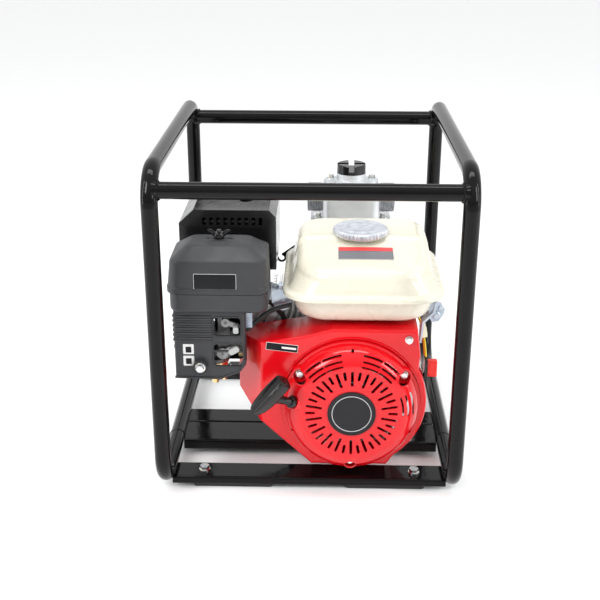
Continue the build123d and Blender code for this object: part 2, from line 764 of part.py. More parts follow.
CHOKE_PIVOT = (-115.0, 246.0)
FUEL_PIVOT = (-120.0, 200.0)

with BuildPart() as choke_lever:
    with BuildSketch(front_plane(-166)):
        with Locations(CHOKE_PIVOT):
            SlotCenterPoint((8, -2), (16, -5), 7)
            Circle(6)
        with Locations(CHOKE_PIVOT):
            Circle(2.05, mode=Mode.SUBTRACT)
    extrude(amount=3)
    with BuildSketch(front_plane(-169)):
        with Locations((CHOKE_PIVOT[0] + 15, CHOKE_PIVOT[1] - 5)):
            RectangleRounded(7, 9, 2)
    extrude(amount=14)
choke_lever.part.label = "choke_lever"
export_step(choke_lever.part, "parts/choke_lever.step")

with BuildPart() as fuel_lever:
    with BuildSketch(front_plane(-166)):
        with Locations(FUEL_PIVOT):
            Circle(8)
            SlotCenterPoint((8, 5), (16, 10), 8)
        with Locations(FUEL_PIVOT):
            Circle(2.05, mode=Mode.SUBTRACT)
    extrude(amount=3.4)
    with BuildSketch(front_plane(-169)):
        with Locations(Location((FUEL_PIVOT[0] + 17, FUEL_PIVOT[1] + 11, 0), (0, 0, 30))):
            RectangleRounded(15, 8, 3)
    extrude(amount=15)
fuel_lever.part.label = "fuel_lever"
export_step(fuel_lever.part, "parts/fuel_lever.step")

with BuildPart() as lever_pins:
    # Plate screwed to the carburettor's front flange, with a stepped pin for each lever
    with BuildSketch(front_plane(-158)):
        with Locations((CHOKE_PIVOT[0] - 3, 222)):
            RectangleRounded(16, 62, 4)
    extrude(amount=5.5)
    for centre in (CHOKE_PIVOT, FUEL_PIVOT):
        with BuildSketch(front_plane(-163)):
            with Locations(centre):
                Circle(4)
        extrude(amount=2.7)
        with BuildSketch(front_plane(-165)):
            with Locations(centre):
                Circle(2)
        extrude(amount=5.4)
lever_pins.part.label = "lever_pins"
export_step(lever_pins.part, "parts/lever_pins.step")

# ---------------------------------------------------------------- air cleaner
CLEANER_CENTRE = (sum(CLEANER_X) / 2, sum(CLEANER_Y) / 2)
CLEANER_SIZE = (CLEANER_X[1] - CLEANER_X[0], CLEANER_Y[1] - CLEANER_Y[0])
CLEANER_SPLIT = 295.0
STUD = (-123.0, -142.0)
CASE_FRONT_WALL_Y = -182.0

with BuildPart() as air_cleaner_base:
    # Tray that carries the element and the cover
    with BuildSketch(Plane.XY.offset(CLEANER_BOTTOM)):
        with Locations(CLEANER_CENTRE):
            RectangleRounded(*CLEANER_SIZE, 16)
    extrude(amount=CLEANER_SPLIT - 0.3 - CLEANER_BOTTOM)
    fillet(air_cleaner_base.edges().group_by(Axis.Z)[0], 7)
    with BuildSketch(Plane.XY.offset(CLEANER_BOTTOM + 4)):
        with Locations(CLEANER_CENTRE):
            RectangleRounded(CLEANER_SIZE[0] - 6, CLEANER_SIZE[1] - 6, 13)
    extrude(amount=40, mode=Mode.SUBTRACT)
    # Case round the carburettor: a front wall with a full left wall and a short right one
    with BuildSketch(front_plane(CASE_FRONT_WALL_Y)):
        with BuildLine():
            Polyline((-184, 169), (-122, 168), (-96, 178), (-87, 190), (-87, 269), (-184, 269), close=True)
        make_face()
    extrude(amount=-20)
    with BuildSketch(front_plane(CASE_FRONT_WALL_Y)):
        with Locations((-169, 219)):
            Rectangle(30, 100)
    extrude(amount=-76)
    case_corners = air_cleaner_base.edges().filter_by(Axis.Z)
    fillet(case_corners.filter_by_position(Axis.Y, CASE_FRONT_WALL_Y - 1, CASE_FRONT_WALL_Y + 1), 3)
    with BuildSketch(front_plane(CASE_FRONT_WALL_Y + 3)):
        with BuildLine():
            Polyline((-181, 150), (-118, 150), (-98, 181), (-90, 192), (-90, 268), (-181, 268), close=True)
        make_face()
    extrude(amount=-90, mode=Mode.SUBTRACT)
    # Cooling ribs on the upper left of the case
    for level in range(5):
        with BuildSketch(front_plane(CASE_FRONT_WALL_Y)):
            with Locations((-157, 229 + 7 * level)):
                Rectangle(50, 3)
        extrude(amount=1.6)
    # Windows for the two levers
    with BuildSketch(front_plane(CASE_FRONT_WALL_Y - 5)):
        with Locations((-111.5, 246)):
            RectangleRounded(36, 26, 4)
        with Locations((-110.5, 204)):
            RectangleRounded(39, 32, 4)
    extrude(amount=-12, mode=Mode.SUBTRACT)
    # Seat of the fixing bolt
    with BuildSketch(front_plane(CASE_FRONT_WALL_Y)):
        with Locations((-149, 188)):
            Circle(10)
    extrude(amount=7)
    with BuildSketch(front_plane(CASE_FRONT_WALL_Y - 8)):
        with Locations((-149, 188)):
            Circle(3.2)
    extrude(amount=-12, mode=Mode.SUBTRACT)
    # Intake hole and the stud for the wing nut
    with BuildSketch(Plane.XY.offset(CLEANER_BOTTOM - 5)):
        with Locations((-128, -125)):
            Circle(16)
    extrude(amount=12, mode=Mode.SUBTRACT)
    with BuildSketch(Plane.XY.offset(CLEANER_BOTTOM)):
        with Locations(STUD):
            Rectangle(12, 60)
    extrude(amount=4)
    with BuildSketch(Plane.XY.offset(CLEANER_BOTTOM)):
        with Locations(STUD):
            Circle(3)
    extrude(amount=CLEANER_TOP + 14 - CLEANER_BOTTOM)
air_cleaner_base.part.label = "air_cleaner_base"
export_step(air_cleaner_base.part, "parts/air_cleaner_base.step")

with BuildPart() as air_filter_element:
    with BuildSketch(Plane.XY.offset(CLEANER_BOTTOM + 4.2)):
        with Locations(CLEANER_CENTRE):
            RectangleRounded(104, 70, 20)
            RectangleRounded(70, 38, 10, mode=Mode.SUBTRACT)
    extrude(amount=64)
air_filter_element.part.label = "air_filter_element"
export_step(air_filter_element.part, "parts/air_filter_element.step")

with BuildPart() as air_cleaner_cover:
    with BuildSketch(Plane.XY.offset(CLEANER_SPLIT)):
        with Locations(CLEANER_CENTRE):
            RectangleRounded(*CLEANER_SIZE, 16)
    extrude(amount=CLEANER_TOP - CLEANER_SPLIT)
    chamfer(air_cleaner_cover.edges().group_by(Axis.Z)[-1], 14)
    fillet(air_cleaner_cover.edges().filter_by(GeomType.LINE).group_by(Axis.Z)[-1], 4)
    with BuildSketch(Plane.XY.offset(CLEANER_SPLIT)):
        with Locations(CLEANER_CENTRE):
            RectangleRounded(CLEANER_SIZE[0] - 5, CLEANER_SIZE[1] - 5, 14)
    extrude(amount=44, mode=Mode.SUBTRACT)
    with BuildSketch(Plane.XY.offset(CLEANER_SPLIT + 44)):
        with Locations(CLEANER_CENTRE):
            RectangleRounded(CLEANER_SIZE[0] - 5, CLEANER_SIZE[1] - 5, 14)
    extrude(amount=14, taper=46, mode=Mode.SUBTRACT)
    # Raised seat under the wing nut
    with BuildSketch(Plane.XY.offset(CLEANER_TOP)):
        with Locations(STUD):
            Circle(22)
    extrude(amount=2.5, taper=30)
    with BuildSketch(Plane.XY.offset(CLEANER_TOP - 10)):
        with Locations(STUD):
            Circle(3.3)
    extrude(amount=20, mode=Mode.SUBTRACT)
air_cleaner_cover.part.label = "air_cleaner_cover"
export_step(air_cleaner_cover.part, "parts/air_cleaner_cover.step")

with BuildPart() as wing_nut:
    with BuildSketch(Plane.XY.offset(CLEANER_TOP + 2.8)):
        with Locations(STUD):
            Circle(7)
    extrude(amount=8, taper=8)
    with BuildSketch(front_plane(STUD[1])):
        for side in (-1, 1):
            with Locations(Location((STUD[0] + side * 9, CLEANER_TOP + 10, 0), (0, 0, side * 38))):
                SlotOverall(16, 8)
    extrude(amount=1.6, both=True)
    with BuildSketch(Plane.XY.offset(CLEANER_TOP)):
        with Locations(STUD):
            Circle(3.06)
    extrude(amount=30, mode=Mode.SUBTRACT)
wing_nut.part.label = "wing_nut"
export_step(wing_nut.part, "parts/wing_nut.step")

# ---------------------------------------------------------------- muffler
EXHAUST_X = -84.0
EXHAUST_Z = 196.0

def muffler_box(inset):
    """The muffler's rounded box, or its inside when inset."""
    with BuildPart() as box:
        with BuildSketch(Plane.XY.offset(264 + inset)):
            with Locations((-119, -4)):
                RectangleRounded(112 - 2 * inset, 104 - 2 * inset, 22 - inset)
        extrude(amount=98 - 2 * inset)
        fillet(box.edges().group_by(Axis.Z)[0], 10 - inset)
        fillet(box.edges().group_by(Axis.Z)[-1], 10 - inset)
    return box.part


with BuildPart() as muffler:
    add(muffler_box(0))
    add(muffler_box(2), mode=Mode.SUBTRACT)
    # Exhaust pipe down to the head's rear face
    with BuildLine() as exhaust_route:
        FilletPolyline((EXHAUST_X, 15, EXHAUST_Z), (EXHAUST_X, 34, EXHAUST_Z), (EXHAUST_X, 34, 266), radius=16)
    with BuildSketch(Plane(origin=(EXHAUST_X, 15, EXHAUST_Z), z_dir=(0, 1, 0))):
        Circle(13)
        Circle(11, mode=Mode.SUBTRACT)
    sweep(path=exhaust_route.wires()[0])
    with BuildSketch(front_plane(15)):
        with Locations((EXHAUST_X, EXHAUST_Z)):
            SlotOverall(52, 30)
            Circle(11, mode=Mode.SUBTRACT)
    extrude(amount=-6)
    # Tail pipe through the guard's rear face
    with BuildSketch(front_plane(46)):
        with Locations((-150, 330)):
            Circle(10)
            Circle(8.5, mode=Mode.SUBTRACT)
    extrude(amount=-20)
    with BuildSketch(front_plane(40)):
        with Locations((-150, 330)):
            Circle(8.5)
    extrude(amount=-12, mode=Mode.SUBTRACT)
muffler.part.label = "muffler"
export_step(muffler.part, "parts/muffler.step")

GUARD_OUTLINE = [
    (GUARD_X[0], GUARD_BOTTOM),
    (GUARD_X[0], 355),
    (-167, GUARD_TOP),
    (-60, GUARD_TOP),
    (GUARD_X[1], 364),
    (GUARD_X[1], GUARD_BOTTOM),
]

with BuildPart() as muffler_guard:
    with BuildSketch(front_plane(GUARD_Y[0])) as guard_section:
        with BuildLine():
            Polyline(*GUARD_OUTLINE, close=True)
        make_face()
        fillet(guard_section.vertices().group_by(Axis.Z)[1:], 3)
    extrude(amount=GUARD_Y[0] - GUARD_Y[1])
    with BuildSketch(front_plane(GUARD_Y[0] + 1.6)):
        with BuildLine():
            Polyline(*GUARD_OUTLINE, close=True)
        make_face()
        offset(amount=-1.6, kind=Kind.INTERSECTION)
        with Locations((sum(GUARD_X) / 2, GUARD_BOTTOM)):
            Rectangle(GUARD_X[1] - GUARD_X[0] - 3.2, 10)
    extrude(amount=GUARD_Y[0] - GUARD_Y[1] + 3.2, mode=Mode.SUBTRACT)
    # Row of slots along the top of the front and rear faces
    with BuildSketch(front_plane(GUARD_Y[0] - 2)):
        with Locations((-112, 358)):
            with GridLocations(10, 10, 9, 1):
                Rectangle(5, 11)
    extrude(amount=-140, mode=Mode.SUBTRACT)
    # Louvres in the top face, and the dished hole of its fixing bolt
    with BuildSketch(Plane.XY.offset(GUARD_TOP - 4)):
        with Locations((-118, 36)):
            with GridLocations(14, 8, 6, 4):
                SlotOverall(10, 4)
        with Locations((-96, -16)):
            Circle(9)
    extrude(amount=8, mode=Mode.SUBTRACT)
    with BuildSketch(front_plane(GUARD_Y[1] - 4)):
        with Locations((-150, 330)):
            Circle(12.5)
    extrude(amount=-10, mode=Mode.SUBTRACT)
    # Tabs that hold the guard to the muffler
    for tab_y in (GUARD_Y[0] + 1, 48.3):
        with BuildSketch(front_plane(tab_y)):
            with Locations((-119, 300)):
                Rectangle(20, 8)
        extrude(amount=-(GUARD_Y[1] - 1 - 48.3) if tab_y > 0 else -9)
muffler_guard.part.label = "muffler_guard"
export_step(muffler_guard.part, "parts/muffler_guard.step")

# ---------------------------------------------------------------- fuel tank
TANK_CENTRE = (sum(TANK_X) / 2, sum(TANK_Y) / 2)
TANK_SIZE = (TANK_X[1] - TANK_X[0], TANK_Y[1] - TANK_Y[0])
TANK_LEDGE = 9.0
TANK_SECTION = [
    (TANK_Y[0] + TANK_LEDGE, TANK_LIP_Z),
    (-171, 321),
    (-77, 338),
    (-70, TANK_TOP_Z),
    (15, TANK_TOP_Z),
    (29, 308),
    (TANK_Y[1] - TANK_LEDGE, TANK_LIP_Z),
]


def tank_form(inset):
    """The tank's upper and lower shells as one solid, or its inside when inset by the sheet."""
    with BuildPart() as form:
        with BuildSketch(Plane.YZ.offset(TANK_X[0] + TANK_LEDGE + inset)) as section:
            with BuildLine():
                Polyline(*TANK_SECTION, close=True)
            make_face()
            fillet(section.vertices().group_by(Axis.Z)[-1], 4)
            if inset:
                offset(amount=-inset, kind=Kind.INTERSECTION)
        extrude(amount=TANK_SIZE[0] - 2 * TANK_LEDGE - 2 * inset)
        with BuildSketch(Plane.XY.offset(TANK_LIP_Z + (1 if inset else 0))):
            with Locations(TANK_CENTRE):
                RectangleRounded(
                    TANK_SIZE[0] - 2 * TANK_LEDGE - 2 * inset,
                    TANK_SIZE[1] - 2 * TANK_LEDGE - 2 * inset,
                    38,
                )
        extrude(amount=TANK_BOTTOM_Z - TANK_LIP_Z + inset - (1 if inset else 0), taper=9)
        fillet(form.edges().group_by(Axis.Z)[0], 14)
    return form.part


with BuildPart() as fuel_tank:
    add(tank_form(0))
    add(tank_form(1.6), mode=Mode.SUBTRACT)
    # Rolled lip where the two shells are joined
    with BuildSketch(Plane.XY.offset(TANK_LIP_Z - 2)):
        with Locations(TANK_CENTRE):
            RectangleRounded(*TANK_SIZE, 44)
            RectangleRounded(TANK_SIZE[0] - 30, TANK_SIZE[1] - 30, 34, mode=Mode.SUBTRACT)
    extrude(amount=4)
    # Filler neck
    with BuildSketch(Plane.XY.offset(TANK_TOP_Z - 12)):
        with Locations(CAP_CENTRE):
            Circle(30)
    extrude(amount=14)
    with BuildSketch(Plane.XY.offset(TANK_TOP_Z - 30)):
        with Locations(CAP_CENTRE):
            Circle(27)
    extrude(amount=60, mode=Mode.SUBTRACT)
fuel_tank.part.label = "fuel_tank"
export_step(fuel_tank.part, "parts/fuel_tank.step")

with BuildPart() as fuel_cap:
    with BuildSketch(Plane.XY.offset(TANK_TOP_Z + 0.4)):
        with Locations(CAP_CENTRE):
            Circle(CAP_R)
    extrude(amount=8)
    fillet(fuel_cap.edges().group_by(Axis.Z)[-1], 2.5)
    with BuildSketch(Plane.XY.offset(TANK_TOP_Z + 0.4)):
        with Locations(CAP_CENTRE):
            Circle(CAP_R - 2)
    extrude(amount=4.5, mode=Mode.SUBTRACT)
    with BuildSketch(Plane.XY.offset(TANK_TOP_Z - 8)):
        with Locations(CAP_CENTRE):
            Circle(26.6)
            Circle(24, mode=Mode.SUBTRACT)
    extrude(amount=13)
fuel_cap.part.label = "fuel_cap"
export_step(fuel_cap.part, "parts/fuel_cap.step")

with BuildPart() as tank_brackets:
    # Stay between the shroud's shoulder and the tank's lip, on the right
    with BuildSketch(front_plane(-122)):
        with BuildLine():
            Polyline(
                (153, 206),
                (155.6, 206),
                (158, 236),
                (172, 250),
                (178, 284),
                (175, 284),
                (169.4, 251.6),
                (155.4, 237.6),
                close=True,
            )
        make_face()
    extrude(amount=16)
    # Control plate at the tank's left
    with BuildSketch(front_plane(-127)):
        with BuildLine():
            Polyline((-50, 250), (-34, 250), (-30, 262), (-30, 276), (-52, 276), close=True)
        make_face()
        with Locations((-41, 264)):
            Circle(3, mode=Mode.SUBTRACT)
    extrude(amount=2.6)
    with BuildSketch(Plane.XY.offset(274)):
        with Locations((-41, -117)):
            Rectangle(22, 20)
    extrude(amount=2)
    # Two pressed legs from the crankcase to the tank's floor
    for leg_x in (34, 104):
        with BuildSketch(Plane.XY.offset(199.5)):
            with Locations((leg_x, -60)):
                Rectangle(28, 40)
                Rectangle(22, 50, mode=Mode.SUBTRACT)
        extrude(amount=TANK_BOTTOM_Z - 199.5)
        with BuildSketch(Plane.XY.offset(TANK_BOTTOM_Z - 3)):
            with Locations((leg_x, -60)):
                Rectangle(28, 40)
        extrude(amount=3)
tank_brackets.part.label = "tank_brackets"
export_step(tank_brackets.part, "parts/tank_brackets.step")

with BuildPart() as fuel_hose:
    with BuildLine() as hose_route:
        FilletPolyline(
            (-25.5, -140, 262),
            (-44, -140, 259),
            (-66, -141, 246),
            (-86, -143, 226),
            (-106, -144, 217),
            radius=16,
        )
    with BuildSketch(Plane(origin=hose_route.wires()[0] @ 0, z_dir=hose_route.wires()[0] % 0)):
        Circle(3.5)
    sweep(path=hose_route.wires()[0])
fuel_hose.part.label = "fuel_hose"
export_step(fuel_hose.part, "parts/fuel_hose.step")

# ---------------------------------------------------------------- controls
SWITCH_Y = -130.0
SWITCH_Z = 164.0

with BuildPart() as engine_switch:
    with BuildSketch(Plane.YZ.offset(161.4)):
        with Locations((SWITCH_Y, SWITCH_Z)):
            RectangleRounded(26, 32, 3)
    extrude(amount=4)
engine_switch.part.label = "engine_switch"
export_step(engine_switch.part, "parts/engine_switch.step")

with BuildPart() as switch_knob:
    with BuildSketch(Plane.YZ.offset(165.7)):
        with Locations((SWITCH_Y, SWITCH_Z)):
            Circle(12.5)
    extrude(amount=4)
    with BuildSketch(Plane.YZ.offset(169.7)):
        with Locations((SWITCH_Y, SWITCH_Z)):
            RectangleRounded(12, 25, 3)
    extrude(amount=10)
    fillet(switch_knob.edges().group_by(Axis.X)[-1], 1.5)
switch_knob.part.label = "switch_knob"
export_step(switch_knob.part, "parts/switch_knob.step")

with BuildPart() as switch_wires:
    for shift in (0, 4.5):
        with BuildLine() as wire_route:
            FilletPolyline(
                (163.5 - shift / 3, -132 + shift, 181.4),
                (163 - shift / 3, -120 + shift, 194),
                (160 - shift / 3, -112 + shift, 212),
                (157 - shift / 3, -97 + shift, 226),
                (142 - shift / 3, -84 + shift, 234),
                (122 - shift / 3, -78 + shift, 236),
                radius=9,
            )
        with BuildSketch(Plane(origin=wire_route.wires()[0] @ 0, z_dir=wire_route.wires()[0] % 0)):
            Circle(1.3)
        sweep(path=wire_route.wires()[0])
switch_wires.part.label = "switch_wires"
export_step(switch_wires.part, "parts/switch_wires.step")

FILLER = Plane(origin=(-8, -62, 72), z_dir=(-1, 0, 0.35)).offset(12)

with BuildPart() as oil_dipstick:
    with BuildSketch(FILLER.offset(0.2)):
        Circle(14)
        with PolarLocations(14.5, 12):
            Circle(1.6, mode=Mode.SUBTRACT)
    extrude(amount=11)
    with BuildSketch(FILLER.offset(0.2)):
        Circle(8.8)
    extrude(amount=-12)
    with BuildSketch(FILLER.offset(-11)):
        Circle(2.5)
    extrude(amount=-17)
oil_dipstick.part.label = "oil_dipstick"
export_step(oil_dipstick.part, "parts/oil_dipstick.step")

THROTTLE_PIVOT = (-12.0, 290.0)

with BuildPart() as governor_bracket:
    with BuildSketch(front_plane(56)):
        with Locations((THROTTLE_PIVOT[0], 248.5)):
            Rectangle(14, 98)
    extrude(amount=2.6)
    with BuildSketch(Plane.XY.offset(199.5)):
        with Locations((10, 41)):
            Rectangle(58, 30)
    extrude(amount=2.5)
    with BuildSketch(front_plane(54)):
        with Locations(THROTTLE_PIVOT):
            Circle(3)
    extrude(amount=8)
governor_bracket.part.label = "governor_bracket"
export_step(governor_bracket.part, "parts/governor_bracket.step")

with BuildPart() as governor_springs:
    for spring_x in (-50, -42):
        with BuildSketch(Plane(origin=(spring_x, -126, 278), z_dir=(0.1, 0.2, 1))):
            Circle(2.8)
            Circle(1.8, mode=Mode.SUBTRACT)
        extrude(amount=24)
governor_springs.part.label = "governor_springs"
export_step(governor_springs.part, "parts/governor_springs.step")

with BuildPart() as throttle_lever:
    with BuildSketch(front_plane(50)):
        with Locations(THROTTLE_PIVOT):
            Circle(7)
        with BuildLine():
            Polyline((-12, 296), (-16, 284), (-42, 264), (-46, 271), close=True)
        make_face()
        with Locations((-47, 264)):
            Circle(7)
            Circle(4, mode=Mode.SUBTRACT)
        with Locations((-51, 268)):
            Rectangle(8, 6, mode=Mode.SUBTRACT)
        with Locations(THROTTLE_PIVOT):
            Circle(3.06, mode=Mode.SUBTRACT)
    extrude(amount=2.4)
throttle_lever.part.label = "throttle_lever"
export_step(throttle_lever.part, "parts/throttle_lever.step")

# ---------------------------------------------------------------- pump
NECK_TOP = 282.0
SUCTION_CHAMBER_Z = 140.0
FLAP_HINGE_Z = 170.0

with BuildPart() as pump_bracket:
    with BuildSketch(Plane(origin=(CRANK_X, 0, CRANK_Z), x_dir=(1, 0, 0), z_dir=(0, 0, 1))):
        with BuildLine():
            Polyline(
                (14, COVER_REAR_Y),
                (56, COVER_REAR_Y),
                (56, 63),
                (44, 68),
                (44, 80),
                (CASING_R, 84),
                (CASING_R, CASING_FRONT_Y),
                (14, CASING_FRONT_Y),
                close=True,
            )
        make_face()
    revolve(axis=CRANK_AXIS)
    with BuildSketch(crank_plane(COVER_REAR_Y + 1)):
        with PolarLocations(47, 4, 45):
            Rectangle(18, 7)
    extrude(amount=-28)
pump_bracket.part.label = "pump_bracket"
export_step(pump_bracket.part, "parts/pump_bracket.step")

with BuildPart() as pump_casing:
    with BuildSketch(crank_plane(CASING_FRONT_Y)):
        Circle(CASING_R)
    extrude(amount=CASING_FRONT_Y - CASING_REAR_Y)
    fillet(pump_casing.edges().group_by(Axis.Y)[-1], 10)
    # Feet on the rear channel
    with BuildSketch(Plane.XY.offset(END_CHANNEL_TOP)):
        with Locations((CRANK_X, FOOT_Y)):
            RectangleRounded(140, 30, 5)
    extrude(amount=8)
    for side in (-1, 1):
        with BuildSketch(Plane.XY.offset(END_CHANNEL_TOP)):
            with Locations((CRANK_X + side * 30, FOOT_Y)):
                Rectangle(12, 26)
        extrude(amount=50)
    # Neck and the flange that carries the manifold
    with BuildSketch(Plane.XY.offset(CRANK_Z + 80)):
        with Locations((PUMP_X, MANIFOLD_Y)):
            Circle(35)
    extrude(amount=NECK_TOP - CRANK_Z - 80)
    with BuildSketch(Plane.XY.offset(NECK_TOP)):
        with Locations((PUMP_X, MANIFOLD_Y)):
            RectangleRounded(130, 72, 14)
    extrude(amount=MANIFOLD_BASE_Z - NECK_TOP)
    # Water spaces: volute round the suction chamber, and the passage up the neck
    with BuildSketch(crank_plane(CASING_FRONT_Y)):
        Circle(CASING_R - CASING_WALL)
    extrude(amount=CASING_FRONT_Y - CASING_REAR_Y + CASING_WALL, mode=Mode.SUBTRACT)
    with BuildSketch(Plane.XY.offset(CRANK_Z + 70)):
        with Locations((PUMP_X, MANIFOLD_Y)):
            Circle(28)
    extrude(amount=200, mode=Mode.SUBTRACT)
    with BuildSketch(front_plane(140)):
        with Locations((CRANK_X, SUCTION_CHAMBER_Z)):
            Circle(50)
    extrude(amount=140 - CASING_REAR_Y + 2)
    with BuildSketch(crank_plane(120)):
        Circle(34)
    extrude(amount=-22)
    with BuildSketch(front_plane(144)):
        with Locations((CRANK_X, SUCTION_CHAMBER_Z)):
            Circle(45)
    extrude(amount=144 - CASING_REAR_Y + CASING_WALL, mode=Mode.SUBTRACT)
    with BuildSketch(crank_plane(119)):
        Circle(29)
    extrude(amount=-40, mode=Mode.SUBTRACT)
    with BuildSketch(front_plane(CASING_REAR_Y + 1)):
        with Locations((CRANK_X, SUCTION_CHAMBER_Z)):
            Circle(24)
    extrude(amount=12, mode=Mode.SUBTRACT)
    # Hinge lugs of the suction flap
    with BuildSketch(front_plane(189)):
        with Locations((CRANK_X - 17, FLAP_HINGE_Z), (CRANK_X + 17, FLAP_HINGE_Z)):
            Rectangle(4, 8)
    extrude(amount=11)
    # Drain hole
    with BuildSketch(front_plane(CASING_REAR_Y + 1)):
        with Locations((CRANK_X, 50)):
            Circle(6)
    extrude(amount=12, mode=Mode.SUBTRACT)
    with Locations(*[(x, FOOT_Y, 26) for x in (CRANK_X - 50, CRANK_X + 50)]):
        Hole(4.5, depth=12)
    with Locations(*[(PUMP_X + side * 54, MANIFOLD_Y, MANIFOLD_BASE_Z) for side in (-1, 1)]):
        Hole(4.5, depth=12)
pump_casing.part.label = "pump_casing"
export_step(pump_casing.part, "parts/pump_casing.step")

with BuildPart() as mechanical_seal:
    with BuildSketch(crank_plane(80)):
        Circle(13.9)
        Circle(10.06, mode=Mode.SUBTRACT)
    extrude(amount=-14)
mechanical_seal.part.label = "mechanical_seal"
export_step(mechanical_seal.part, "parts/mechanical_seal.step")

with BuildPart() as impeller:
    with BuildSketch(crank_plane(99)):
        Circle(74)
    extrude(amount=-4)
    with BuildSketch(crank_plane(99)):
        Circle(19)
    extrude(amount=-15)
    # Backswept vanes
    with BuildSketch(crank_plane(102)):
        with PolarLocations(0, 5):
            SlotArc(Edge.make_circle(34, start_angle=0, end_angle=120).moved(Location((34 - 72, 0, 0))), 4)
    extrude(amount=-14)
    with BuildSketch(crank_plane(96)):
        Circle(SHAFT_TIP_R)
    extrude(amount=-30, mode=Mode.SUBTRACT)
    with BuildSketch(crank_plane(90)):
        Circle(140)
        Circle(76, mode=Mode.SUBTRACT)
    extrude(amount=-40, mode=Mode.SUBTRACT)
impeller.part.label = "impeller"
export_step(impeller.part, "parts/impeller.step")

with BuildPart() as suction_flap:
    with BuildSketch(front_plane(187)):
        with Locations((CRANK_X, SUCTION_CHAMBER_Z)):
            Circle(27)
        with Locations((CRANK_X, FLAP_HINGE_Z - 5)):
            Rectangle(28, 12)
    extrude(amount=4)
    with BuildSketch(Plane.YZ.offset(CRANK_X - 14.4)):
        with Locations((182.5, FLAP_HINGE_Z)):
            Circle(3.4)
    extrude(amount=28.8)
suction_flap.part.label = "suction_flap"
export_step(suction_flap.part, "parts/suction_flap.step")

MANIFOLD_SIZE = (90.0, 80.0)
REAR_PORT_Z = 326.0

with BuildPart() as discharge_manifold:
    with BuildSketch(Plane.XY.offset(MANIFOLD_BASE_Z)):
        with Locations((PUMP_X, MANIFOLD_Y)):
            RectangleRounded(*MANIFOLD_SIZE, 12)
    extrude(amount=MANIFOLD_TOP_Z - MANIFOLD_BASE_Z)
    fillet(discharge_manifold.edges().group_by(Axis.Z)[-1], 5)
    with BuildSketch(Plane.XY.offset(MANIFOLD_BASE_Z)):
        with Locations((PUMP_X, MANIFOLD_Y)):
            RectangleRounded(130, 72, 14)
    extrude(amount=MANIFOLD_FLANGE)
    with BuildSketch(Plane.XY.offset(MANIFOLD_BASE_Z - 1)):
        with Locations((PUMP_X, MANIFOLD_Y)):
            RectangleRounded(MANIFOLD_SIZE[0] - 14, MANIFOLD_SIZE[1] - 14, 10)
    extrude(amount=MANIFOLD_TOP_Z - MANIFOLD_BASE_Z - 6, mode=Mode.SUBTRACT)
    with BuildSketch(Plane.XY.offset(MANIFOLD_TOP_Z - 10)):
        with Locations((PUMP_X, MANIFOLD_Y)):
            Circle(18.2)
    extrude(amount=20, mode=Mode.SUBTRACT)
    with BuildSketch(Plane.YZ.offset(PUMP_X)):
        with Locations((MANIFOLD_Y, SIDE_PORT_Z)):
            Circle(18.5)
    extrude(amount=60, both=True, mode=Mode.SUBTRACT)
    with BuildSketch(front_plane(MANIFOLD_Y)):
        with Locations((PUMP_X, REAR_PORT_Z)):
            Circle(20)
    extrude(amount=-60, mode=Mode.SUBTRACT)
    with Locations(*[(PUMP_X + side * 54, MANIFOLD_Y, MANIFOLD_BASE_Z + MANIFOLD_FLANGE) for side in (-1, 1)]):
        Hole(4.5, depth=10)
    with Locations(*[(PUMP_X + side * 33, MANIFOLD_Y, MANIFOLD_TOP_Z) for side in (-1, 1)]):
        Hole(3.3, depth=4)
discharge_manifold.part.label = "discharge_manifold"
export_step(discharge_manifold.part, "parts/discharge_manifold.step")

# Each port as (plane at its root, outer radius, length)
PORTS = (
    (Plane(origin=(PUMP_X - 45, MANIFOLD_Y, SIDE_PORT_Z), z_dir=(-1, 0, 0)), SIDE_PORT_R, 25),
    (Plane(origin=(PUMP_X + 45, MANIFOLD_Y, SIDE_PORT_Z), z_dir=(1, 0, 0)), SIDE_PORT_R, 25),
    (Plane(origin=(PUMP_X, MANIFOLD_Y + 40, REAR_PORT_Z), z_dir=(0, 1, 0)), MAIN_PORT_R, 25),
    (Plane(origin=(CRANK_X, CASING_REAR_Y, SUCTION_CHAMBER_Z), z_dir=(0, 1, 0)), MAIN_PORT_R, 27),
)

with BuildPart() as threaded_ports:
    for root, radius, length in PORTS:
        with BuildSketch(root):
            Circle(radius)
            Circle(radius - 5.5, mode=Mode.SUBTRACT)
        extrude(amount=length)
threaded_ports.part.label = "threaded_ports"
export_step(threaded_ports.part, "parts/threaded_ports.step")

with BuildPart() as manifold_cap:
    with BuildSketch(Plane.XY.offset(MANIFOLD_TOP_Z)):
        with Locations((PUMP_X, MANIFOLD_Y)):
            SlotOverall(87, 30)
            Circle(29)
    extrude(amount=8)
    with BuildSketch(Plane.XY.offset(MANIFOLD_TOP_Z + 8)):
        with Locations((PUMP_X, MANIFOLD_Y)):
            Circle(23.5)
    extrude(amount=10)
    with BuildSketch(Plane.XY.offset(MANIFOLD_TOP_Z - 1)):
        with Locations((PUMP_X, MANIFOLD_Y)):
            Circle(18.1)
        with Locations(*[(PUMP_X + side * 33, MANIFOLD_Y) for side in (-1, 1)]):
            Circle(3.3)
    extrude(amount=30, mode=Mode.SUBTRACT)
manifold_cap.part.label = "manifold_cap"
export_step(manifold_cap.part, "parts/manifold_cap.step")

